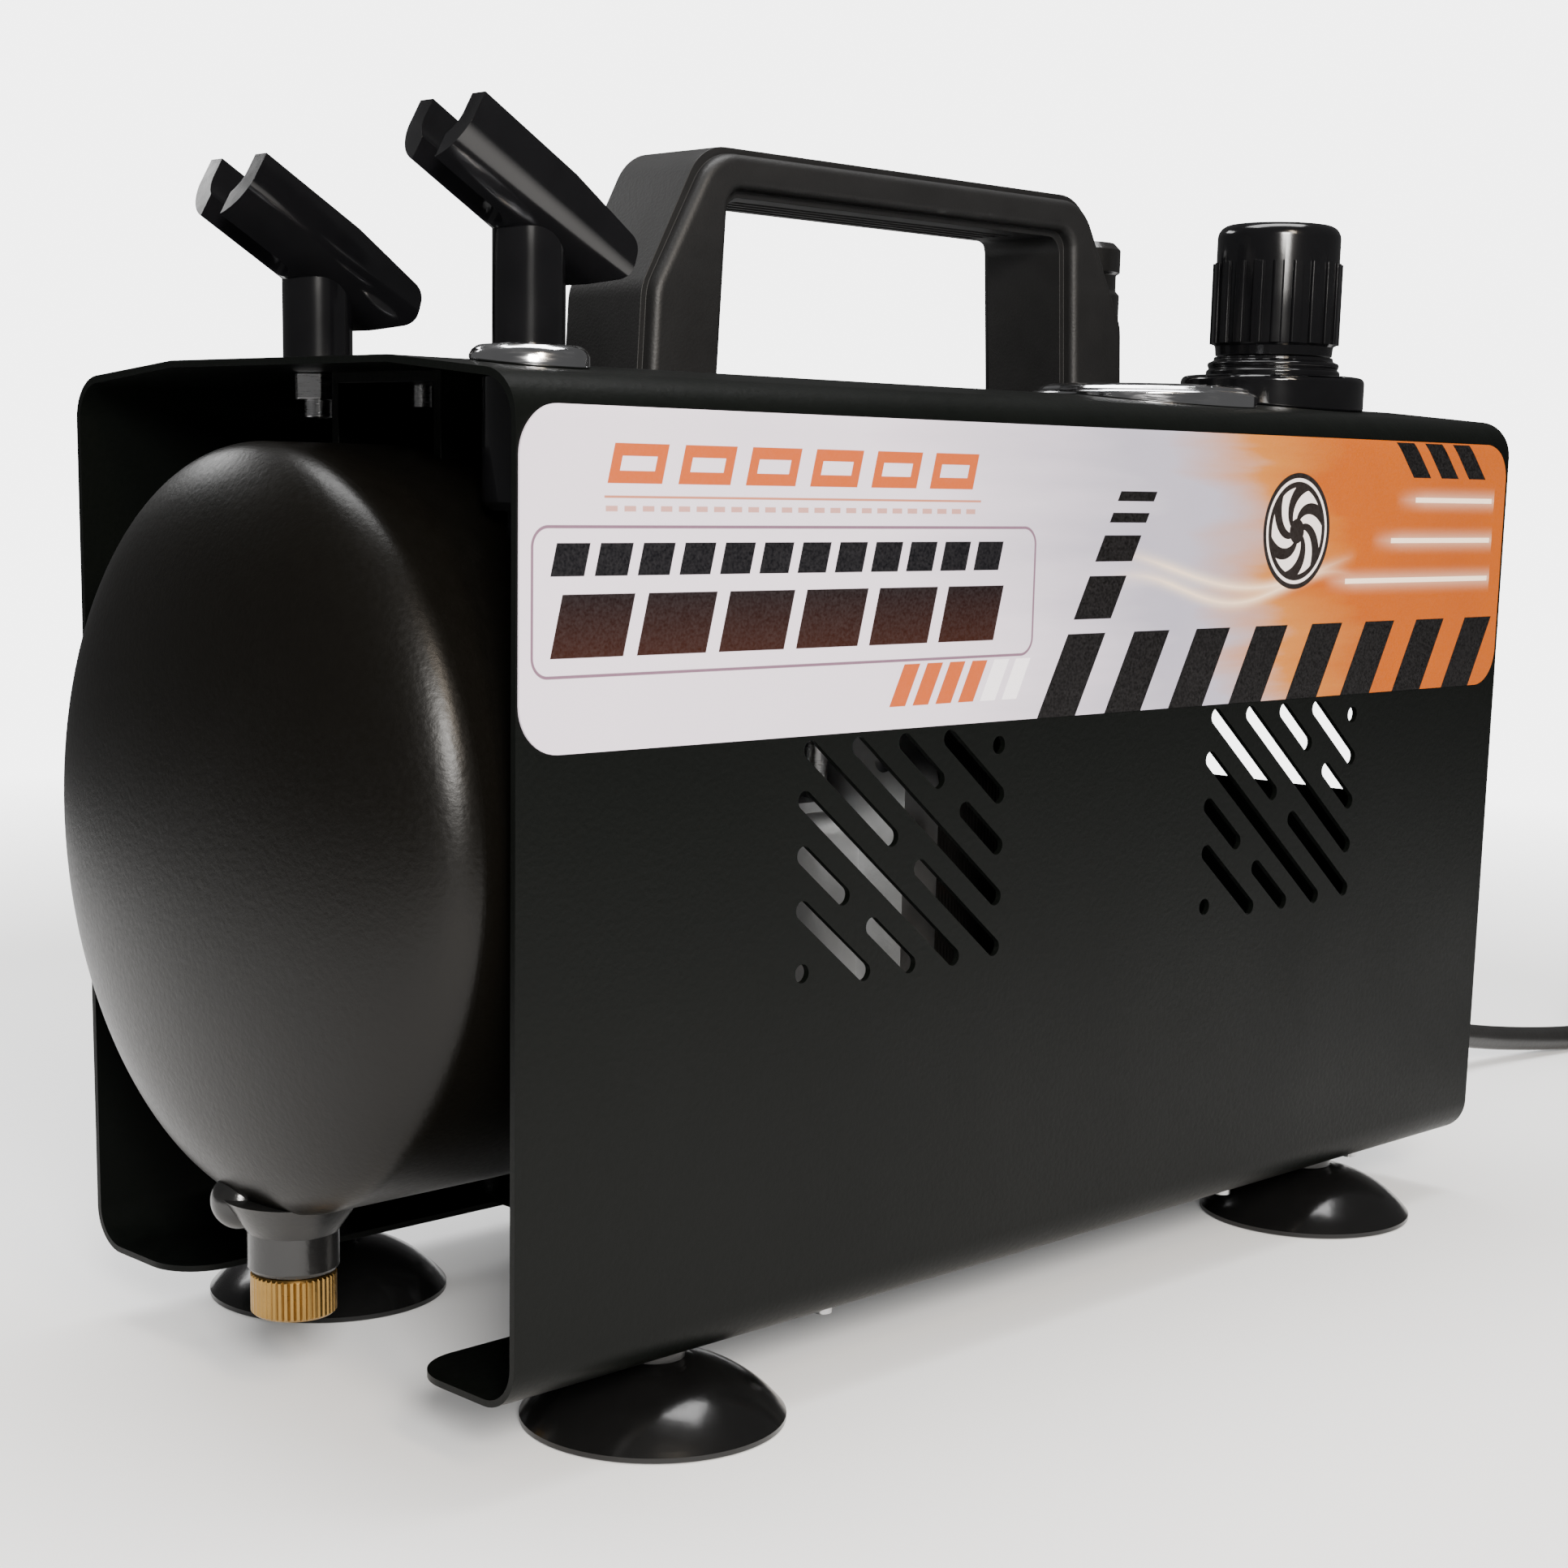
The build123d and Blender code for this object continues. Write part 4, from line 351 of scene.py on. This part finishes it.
def gauge_face():
    """A white dial with tick marks on a three-quarter ring, and a coloured band at its end."""
    low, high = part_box("gauge_dial")
    centre = (low + high) / 2
    card = (0.82, 0.82, 0.79)
    paint = Paint("gauge_face", card, 0.5)
    shifted = paint.node("ShaderNodeMapping")
    paint.link(paint.place, shifted.inputs["Vector"])
    shifted.inputs["Location"].default_value = -centre
    parts = paint.node("ShaderNodeSeparateXYZ")
    paint.link(shifted.outputs["Vector"], parts.inputs[0])
    x, y = parts.outputs["X"], parts.outputs["Y"]
    squares = (paint.math("MULTIPLY", x, x), paint.math("MULTIPLY", y, y))
    radius = paint.math("SQRT", paint.math("ADD", *squares))
    # 0 at the zero mark, rising clockwise
    turned = paint.math("MULTIPLY", paint.math("ARCTAN2", y, x), -180.0 / pi)
    sweep = paint.math("FLOORED_MODULO", paint.math("ADD", turned, SCALE_START), 360.0)
    on_scale = paint.math("LESS_THAN", sweep, SCALE_SWEEP)

    def ring(inner, outer):
        inside = paint.math("GREATER_THAN", radius, inner)
        outside = paint.math("LESS_THAN", radius, outer)
        return paint.math("MULTIPLY", inside, outside)

    def ticks(every, wide, inner):
        off = paint.math("PINGPONG", sweep, every / 2)
        near = paint.math("LESS_THAN", off, wide)
        return paint.math("MULTIPLY", paint.math("MULTIPLY", near, ring(inner, TICK_OUTER_R)), on_scale)

    marks = paint.math("MAXIMUM", ticks(27.0, 0.9, 0.0118), ticks(5.4, 0.45, 0.0136))
    red_part = paint.math("MULTIPLY", paint.math("GREATER_THAN", sweep, RED_FROM), on_scale)
    band = paint.math("MULTIPLY", ring(0.0153, 0.0165), red_part)
    white = paint.mix(paint.noise(0.01), (*card, 1.0), (0.78, 0.78, 0.75, 1.0))
    marked = paint.mix(marks, white, (0.02, 0.02, 0.02, 1.0))
    paint.set_colour(paint.mix(band, marked, (0.55, 0.03, 0.02, 1.0)))
    paint.bump(paint.noise(0.0006), 0.000008)
    return paint.material


# ---------------------------------------------------------------- printed film
PRINT_EDGE = 0.12      # width of a printed edge, in mm
PANEL_CORNER = 3.2
PALE_EDGE_X = -40.0    # where the pale field starts to turn grey
BAR_FOOT_Z = 123.1     # height at which BAR_START_X is measured
BAR_HEAD_Z = 138.1     # top of the bottom row
BAR_START_X = -9.0
BAR_LEAN = 0.535       # sideways step of a bar for each mm of height
BAR_WIDTH = 11.4
PANEL = (-132.1, -11.6, 134.7, 158.1)      # left, right, bottom and top
LETTER_LEAN = 0.25
DASH_ROW = (126.5, 134.0)                  # bottom and top
SIGN_CENTRE = (73.0, 157.5)
POINTERS = ((164.3, 118.0), (155.5, 109.0), (146.9, 92.0))     # height and left end
POINTER_END_X = 150.0


class Film(Paint):
    """The label's paint. Its masks are 0 to 1, drawn in millimetres of the frame's x and z."""

    def __init__(self):
        super().__init__("printed_film", (0.7, 0.66, 0.72), 0.34, level=0.18)
        parts = self.node("ShaderNodeSeparateXYZ")
        self.link(self.place, parts.inputs[0])
        self.x = self.math("MULTIPLY", parts.outputs["X"], 1000.0)
        self.z = self.math("MULTIPLY", parts.outputs["Z"], 1000.0)

    def over(self, value, limit):
        """1 where value is over limit."""
        past = self.math("SUBTRACT", value, limit - PRINT_EDGE / 2)
        return self.math("DIVIDE", past, PRINT_EDGE, clamp=True)

    def under(self, value, limit):
        return self.math("SUBTRACT", 1.0, self.over(value, limit))

    def both(self, *masks):
        made = masks[0]
        for mask in masks[1:]:
            made = self.math("MULTIPLY", made, mask)
        return made

    def either(self, *masks):
        made = masks[0]
        for mask in masks[1:]:
            made = self.math("MAXIMUM", made, mask)
        return made

    def band(self, value, low, high):
        return self.both(self.over(value, low), self.under(value, high))

    def away_from(self, value, middle):
        return self.math("ABSOLUTE", self.math("SUBTRACT", value, middle))

    def length(self, across, up):
        squares = (self.math("MULTIPLY", across, across), self.math("MULTIPLY", up, up))
        return self.math("SQRT", self.math("ADD", *squares))

    def sloped(self, slope, base):
        """x, sheared so that a slanting bar's sides are upright in it."""
        lift = self.math("MULTIPLY", self.math("SUBTRACT", self.z, base), slope)
        return self.math("SUBTRACT", self.x, lift)

    def bars(self, value, start, pitch, width, count):
        """A row of count bars, one every pitch, each width wide."""
        within = self.math("FLOORED_MODULO", self.math("SUBTRACT", value, start), pitch)
        end = start + pitch * count - (pitch - width) / 2
        return self.both(self.band(value, start - PRINT_EDGE, end), self.under(within, width))

    def rounded_box(self, left, right, low, high, radius):
        """Distance outside a rounded box, negative inside, in mm."""
        dx = self.away_from(self.x, (left + right) / 2)
        dz = self.away_from(self.z, (low + high) / 2)
        ex = self.math("SUBTRACT", dx, (right - left) / 2 - radius)
        ez = self.math("SUBTRACT", dz, (high - low) / 2 - radius)
        corner = self.length(self.math("MAXIMUM", ex, 0.0), self.math("MAXIMUM", ez, 0.0))
        inner = self.math("MINIMUM", self.math("MAXIMUM", ex, ez), 0.0)
        return self.math("SUBTRACT", self.math("ADD", corner, inner), radius)

    def ground(self, haze):
        """Pale, then grey, then orange, with soft streaks where they meet."""
        streaks = self.noise(0.030, detail=5.0, place=self.stretched((0.35, 1.0, 3.0)))
        lean = self.math("MULTIPLY", self.math("SUBTRACT", self.z, 150.0), -0.35)
        wander = self.math("MULTIPLY", self.math("SUBTRACT", streaks, 0.5), 70.0)
        along = self.math("ADD", self.math("SUBTRACT", self.x, lean), wander)
        pale = self.mix(haze, (0.62, 0.55, 0.64, 1.0), (0.70, 0.63, 0.70, 1.0))
        grey = self.mix(haze, (0.30, 0.29, 0.36, 1.0), (0.38, 0.35, 0.42, 1.0))
        orange = self.mix(haze, (0.40, 0.085, 0.000, 1.0), (0.30, 0.058, 0.002, 1.0))
        amber = (0.44, 0.16, 0.025, 1.0)
        made = self.mix(self.remap(along, PALE_EDGE_X, 25.0, 0.0, 1.0), pale, grey)
        made = self.mix(self.remap(along, 38.0, 68.0, 0.0, 1.0), made, amber)
        return self.mix(self.remap(along, 62.0, 95.0, 0.0, 1.0), made, orange)

    def waves(self, ground):
        """Soft waves of light between the two halves."""
        for middle, tall, stretch, phase in ((146.0, 3.0, 11.0, 0.0), (150.0, 4.0, 17.0, 1.3)):
            wave = self.math("SINE", self.math("ADD", self.math("DIVIDE", self.x, stretch), phase))
            line = self.math("ADD", self.math("MULTIPLY", wave, tall), middle)
            glow = self.math("POWER", self.remap(self.away_from(self.z, line), 0.0, 3.2, 1.0, 0.0), 3.0)
            fade_in = self.remap(self.x, 10.0, 30.0, 0.0, 1.0)
            fade_out = self.remap(self.x, 70.0, 96.0, 1.0, 0.0)
            ground = self.mix(self.both(glow, fade_in, fade_out, 0.75), ground, (0.95, 0.72, 0.50, 1.0))
        return ground

    def black_bars(self):
        """Slanting bars along the bottom, a broken one above the first, three at the top right."""
        leaning = self.sloped(BAR_LEAN, BAR_FOOT_Z)
        row = self.bars(leaning, BAR_START_X, 20.37, BAR_WIDTH, 8)
        bottom = self.both(row, self.under(self.z, BAR_HEAD_Z))
        steps = ((140.8, 149.0), (151.7, 156.7), (159.1, 161.0), (163.2, 165.1))
        pieces = self.either(*[self.band(self.z, low, high) for low, high in steps])
        column = self.both(self.band(leaning, BAR_START_X, BAR_START_X + BAR_WIDTH), pieces)
        corner = self.bars(self.sloped(-0.98, 169.1), 116.7, 11.45, 7.1, 3)
        return self.either(bottom, column, self.both(corner, self.band(self.z, 169.1, 176.6)))

    def panel_outline(self):
        box = self.rounded_box(*PANEL, PANEL_CORNER)
        return self.under(self.math("ABSOLUTE", box), 0.26)

    def slanted_row(self, start, pitch, width, count, low, high, base, lean=LETTER_LEAN):
        """A row of plain slanted blocks, between two heights."""
        row = self.bars(self.sloped(lean, base), start, pitch, width, count)
        return self.both(row, self.band(self.z, low, high))

    def panel_blocks(self):
        """Two rows of plain blocks inside the panel."""
        upper = self.slanted_row(-128.5, 9.05, 6.9, 12, 150.4, 155.6, 150.2)
        lower = self.slanted_row(-128.5, 18.1, 15.2, 6, 137.6, 147.6, 137.4)
        return self.either(upper, lower)

    def heading(self):
        """A row of hollow boxes over the panel."""
        solid = self.slanted_row(-117.0, 15.1, 11.6, 6, 164.9, 171.2, 164.5)
        hole = self.slanted_row(-114.9, 15.1, 7.4, 6, 166.9, 169.2, 164.5)
        return self.both(solid, self.math("SUBTRACT", 1.0, hole))

    def rule(self):
        """A thin rule under the heading, and faint small dots under it."""
        line = self.both(self.band(self.z, 162.6, 163.0), self.band(self.x, -117.5, -27.4))
        dots = self.both(self.bars(self.x, -117.2, 3.9, 2.5, 23), self.band(self.z, 160.5, 161.4))
        return self.either(line, self.both(dots, 0.8))

    def dashes(self, start, count):
        return self.slanted_row(start, 6.12, 4.2, count, *DASH_ROW, DASH_ROW[0], lean=0.5)

    def pointers(self):
        """Three glowing lines on the right."""
        lines = []
        for height, start in POINTERS:
            away = self.away_from(self.z, height)
            reach = self.both(self.over(self.x, start), self.under(self.x, POINTER_END_X))
            core = self.both(self.under(away, 0.55), reach)
            glow = self.math("POWER", self.remap(away, 0.0, 3.6, 1.0, 0.0), 2.0)
            lead_in = self.remap(self.x, start - 8.0, start + 4.0, 0.0, 1.0)
            halo = self.both(glow, lead_in, self.under(self.x, POINTER_END_X + 1.0), 0.35)
            lines.append(self.either(core, halo))
        return self.either(*lines)

    def fan_sign(self):
        """The sign's dark disc, and the six swept blades and ring on it."""
        across = self.math("SUBTRACT", self.x, SIGN_CENTRE[0])
        up = self.math("SUBTRACT", self.z, SIGN_CENTRE[1])
        reach = self.length(across, up)
        swept = self.math("ADD", self.math("ARCTAN2", up, across), self.math("MULTIPLY", reach, 0.16))
        blade = self.over(self.math("SINE", self.math("MULTIPLY", swept, 6.0)), 0.0)
        disc = self.under(reach, 12.0)
        white = self.either(self.both(blade, self.band(reach, 2.6, 9.0)), self.band(reach, 10.2, 10.9))
        return disc, self.both(white, disc)


def printed_film():
    """The near side's film: pale to orange, with slanting bars and plain shapes."""
    film = Film()
    haze = film.noise(0.040, detail=3.0)
    colour = film.waves(film.ground(haze))
    colour = film.mix(film.pointers(), colour, (1.0, 0.78, 0.60, 1.0))
    colour = film.mix(film.rule(), colour, (0.42, 0.16, 0.10, 1.0))
    orange_marks = film.either(film.dashes(-50.4, 4), film.heading())
    colour = film.mix(orange_marks, colour, (0.40, 0.075, 0.014, 1.0))
    colour = film.mix(film.dashes(-25.9, 2), colour, (0.86, 0.82, 0.86, 1.0))
    colour = film.mix(film.panel_outline(), colour, (0.16, 0.09, 0.13, 1.0))
    warm_to_black = film.remap(film.z, 137.0, 150.0, 0.0, 1.0)
    ink = film.mix(warm_to_black, (0.022, 0.005, 0.002, 1.0), (0.002, 0.002, 0.003, 1.0))
    colour = film.mix(film.panel_blocks(), colour, ink)
    disc, sign = film.fan_sign()
    colour = film.mix(disc, colour, (0.010, 0.007, 0.006, 1.0))
    colour = film.mix(sign, colour, (0.80, 0.72, 0.70, 1.0))
    colour = film.mix(film.black_bars(), colour, (0.0015, 0.0012, 0.0012, 1.0))
    speckle = film.remap(film.noise(0.0005, detail=2.0), 0.3, 0.7, 0.0, 0.02)
    film.set_colour(film.mix(speckle, colour, (0.5, 0.48, 0.5, 1.0)))
    film.set_rough(film.remap(haze, 0.3, 0.7, 0.28, 0.40))
    film.bump(film.noise(0.003, detail=2.0), 0.00002)
    return film.material


# ---------------------------------------------------------------- which material goes where
BLACK = powder_coat("cover_paint", (0.0016, 0.0021, 0.0017), 0.42, level=0.10)
TANK = powder_coat("tank_paint", (0.0020, 0.0017, 0.0012), 0.34, level=0.20)
GLOSS_PAINT = powder_coat("gloss_paint", (0.008, 0.008, 0.008), 0.22)
GLOSS = moulded("gloss_plastic", (0.0022, 0.0022, 0.0026), 0.13, 0.0030, 0.000004)
GRAINED = moulded("grained_plastic", (0.0050, 0.0050, 0.0052), 0.52, 0.0006, 0.000025, level=0.35)
RUBBER = moulded("rubber", (0.0026, 0.0026, 0.0026), 0.20, 0.003, 0.00002)
CORD_SKIN = moulded("cord_rubber", (0.010, 0.010, 0.010), 0.38, 0.0012, 0.00003)
HOSE = moulded("hose", (0.012, 0.012, 0.012), 0.35, 0.0012, 0.00003)
BRASS = machined("brass", (0.30, 0.18, 0.055), 0.32)
ZINC = machined("zinc_steel", (0.60, 0.60, 0.61), 0.30)
CHROME = machined("chrome", (0.84, 0.84, 0.86), 0.10, streak=(1.0, 1.0, 6.0))
ALLOY = cast_metal("cast_alloy", (0.62, 0.63, 0.64), 0.42)
DARK_METAL = powder_coat("dark_metal", (0.02, 0.02, 0.02), 0.5)

LOOKS = {
    "black_paint": BLACK,
    "tank_paint": TANK,
    "gloss_paint": GLOSS_PAINT,
    "printed_film": printed_film(),
    "brass": BRASS,
    "gloss_plastic": GLOSS,
    "grained_plastic": GRAINED,
    "zinc_steel": ZINC,
    "chrome": CHROME,
    "dark_metal": DARK_METAL,
    "white_paint": gauge_face(),
    "clear_glass": clear_glass(),
    "cast_alloy": ALLOY,
    "lamination": laminations(),
    "enamelled_wire": wound_wire(),
    "hose": HOSE,
    "rubber": RUBBER,
    "cord_rubber": CORD_SKIN,
}


def dress_nodes():
    """Gives every CAD node the detailed material of its slot in the record."""
    for part in frame["record"]["subparts"]:
        node = NODES[part["node"]]
        node.data.materials.clear()
        node.data.materials.append(LOOKS[part["material_slot"]])


dress_nodes()


# ---------------------------------------------------------------- softened edges
SLOT_OF = {part["node"]: part["material_slot"] for part in frame["record"]["subparts"]}
SHARP = radians(30.0)
FLAT = radians(0.5)
BEVEL_SEGMENTS = 3


def body_of(node):
    """The name of the CAD body that a node hangs on."""
    return next(name for name, empty in frame["bodies"].items() if empty == node.parent)


def soften(name, width):
    """Stands a copy of a CAD node in for it, with its hard edges rounded off by width millimetres."""
    node = NODES[name]
    mesh = bmesh.new()
    mesh.from_mesh(node.data)
    mesh.transform(node.matrix_world)
    bmesh.ops.remove_doubles(mesh, verts=mesh.verts, dist=1e-6)
    bmesh.ops.dissolve_limit(mesh, angle_limit=FLAT, verts=mesh.verts, edges=mesh.edges)
    for face in mesh.faces:
        face.smooth = True
    for edge in mesh.edges:
        edge.smooth = edge.is_manifold and edge.calc_face_angle() < SHARP
    data = bpy.data.meshes.new(name + "_softened")
    mesh.to_mesh(data)
    if "custom_normal" in data.attributes:
        data.attributes.remove(data.attributes["custom_normal"])
    piece = bpy.data.objects.new(name + "_softened", data)
    bpy.context.scene.collection.objects.link(piece)
    data.materials.append(LOOKS[SLOT_OF[name]])
    bevel = piece.modifiers.new("soft edges", "BEVEL")
    bevel.limit_method = "ANGLE"
    bevel.angle_limit = SHARP
    bevel.width = width * MM
    bevel.segments = BEVEL_SEGMENTS
    bevel.harden_normals = True
    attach(piece, body_of(node))
    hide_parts(name)


# width of the rounding on each piece, in millimetres
SOFT_EDGES = {
    "cover": 0.3,
    "holder_front": 1.1,
    "holder_rear": 1.1,
    "handle": 0.9,
    "regulator_panel_nut": 0.7,
    "regulator_bonnet": 0.4,
    "regulator_knob": 0.45,
    "gauge_bezel": 0.5,
    "switch_bezel": 0.5,
    "switch_button": 0.5,
    "outlet_body": 0.35,
    "outlet_sleeve": 0.4,
    "tank_drain_boss": 0.9,
    "drain_knob": 0.15,
    "tank_bracket": 0.5,
    "cord_bracket": 0.4,
    "crankcase": 1.0,
    "cylinder_head": 0.5,
    "motor_end_bell": 0.8,
    "cooling_fan": 0.3,
    "holder_bolts": 0.3,
    "mains_plug": 0.6,
}
for soft_name, soft_width in SOFT_EDGES.items():
    soften(soft_name, soft_width)


# ---------------------------------------------------------------- the cord's pieces
CORNER_STEPS = 6
TIE_TURN = radians(-125)


def make_tie():
    """A narrow strap that holds the coil's turns together."""
    wide, thick = 7.0 * MM, 0.5 * MM
    gap = 0.2 * MM
    inner = COIL_INNER_R - CORD_R - gap
    outer = COIL_OUTER_R + CORD_R + gap
    low, high = thick, 2 * CORD_R * COIL_LAYERS - thick
    corner = 3.0 * MM
    mesh = bmesh.new()
    loop = []
    corners = [
        (outer - corner, high - corner, 0),
        (inner + corner, high - corner, 90),
        (inner + corner, low + corner, 180),
        (outer - corner, low + corner, 270),
    ]
    for middle_r, middle_z, start in corners:
        for step in range(CORNER_STEPS + 1):
            turn = radians(start + step * 90 / CORNER_STEPS)
            out = Vector((cos(turn), sin(turn)))
            loop.append((middle_r + out.x * corner, middle_z + out.y * corner, out))
    rings = []
    for r, z, out in loop:
        ring = []
        for side, lift in ((-1, 0), (1, 0), (1, thick), (-1, thick)):
            height = max(gap, z + out.y * lift)
            ring.append(mesh.verts.new((-(r + out.x * lift), side * wide / 2, height)))
        rings.append(ring)
    for before, after in zip(rings, rings[1:] + rings[:1]):
        for k in range(4):
            mesh.faces.new((before[k], before[(k + 1) % 4], after[(k + 1) % 4], after[k]))
    bmesh.ops.recalc_face_normals(mesh, faces=mesh.faces)
    data = bpy.data.meshes.new("cord_tie")
    mesh.to_mesh(data)
    tie = bpy.data.objects.new("cord_tie", data)
    bpy.context.scene.collection.objects.link(tie)
    tie.location = COIL_CENTRE
    tie.rotation_euler = (0, 0, TIE_TURN)
    data.materials.append(GRAINED)
    return tie


cord = make_cord(CORD_SKIN)
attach(cord, "compressor")
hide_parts("mains_cord", "mains_cord_coil")
tie = make_tie()
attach(tie, "compressor")


# ---------------------------------------------------------------- floor and light
FLOOR_HALF = 3.0
FLOOR_FADE = (0.42, 0.95)
SURROUND_STRENGTH = (("Is Camera Ray", 5.0), ("Is Diffuse Ray", 0.85), ("Is Glossy Ray", 0.10))


def make_floor():
    """A plain pale floor that runs out softly into the white surround."""
    mesh = bmesh.new()
    signs = ((-1, -1), (1, -1), (1, 1), (-1, 1))
    corners = [(across * FLOOR_HALF, along * FLOOR_HALF, 0) for across, along in signs]
    mesh.faces.new([mesh.verts.new(c) for c in corners])
    data = bpy.data.meshes.new("floor")
    mesh.to_mesh(data)
    floor = bpy.data.objects.new("floor", data)
    bpy.context.scene.collection.objects.link(floor)
    paint = Paint("floor", (0.86, 0.86, 0.86), 0.6, level=0.0)
    paint.bump(paint.noise(0.02, detail=3.0), 0.00005)
    distance = paint.node("ShaderNodeVectorMath", operation="LENGTH")
    paint.link(paint.place, distance.inputs[0])
    fade = paint.remap(distance.outputs["Value"], *FLOOR_FADE, 1.0, 0.0)
    paint.link(paint.math("SMOOTH_MIN", fade, 1.0, 0.1), paint.shader.inputs["Alpha"])
    data.materials.append(paint.material)


def make_surround():
    """White behind the object, soft fill on matt surfaces, and little to mirror in gloss."""
    world = bpy.data.worlds.new("surround")
    bpy.context.scene.world = world
    world.use_nodes = True
    tree = world.node_tree
    background = tree.nodes["Background"]
    background.inputs["Color"].default_value = (1.0, 1.0, 1.0, 1.0)
    path = tree.nodes.new("ShaderNodeLightPath")
    total = None
    for ray, share in SURROUND_STRENGTH:
        part = tree.nodes.new("ShaderNodeMath")
        part.operation = "MULTIPLY_ADD"
        part.inputs[1].default_value = share
        part.inputs[2].default_value = 0.0
        tree.links.new(path.outputs[ray], part.inputs[0])
        if total is not None:
            tree.links.new(total, part.inputs[2])
        total = part.outputs[0]
    tree.links.new(total, background.inputs["Strength"])


def soft_box(name, place, target, size, power, colour=(1.0, 1.0, 1.0)):
    """A rectangular studio light that points at target."""
    data = bpy.data.lights.new(name, "AREA")
    data.shape = "RECTANGLE"
    data.size, data.size_y = size
    data.energy = power
    data.color = colour
    light = bpy.data.objects.new(name, data)
    light.location = place
    aim = Vector(target) - Vector(place)
    light.rotation_mode = "QUATERNION"
    light.rotation_quaternion = aim.to_track_quat("-Z", "Y")
    bpy.context.scene.collection.objects.link(light)


make_floor()
make_surround()
# beside the lens, high in front, overhead, and high behind
soft_box("key_box", (-0.62, -0.84, 0.50), (0.0, 0.0, 0.10), (0.26, 0.26), 19.0, (1.0, 0.97, 0.93))
soft_box("warm_box", (-0.36, -0.86, 0.70), (-0.14, -0.03, 0.12), (0.14, 0.40), 6.0, (1.0, 0.84, 0.66))
soft_box("top_box", (0.10, 0.10, 1.25), (0.0, 0.0, 0.1), (1.1, 0.5), 20.0)
soft_box("rim_box", (-0.10, 1.10, 0.75), (0.0, 0.0, 0.15), (0.5, 0.2), 3.0)
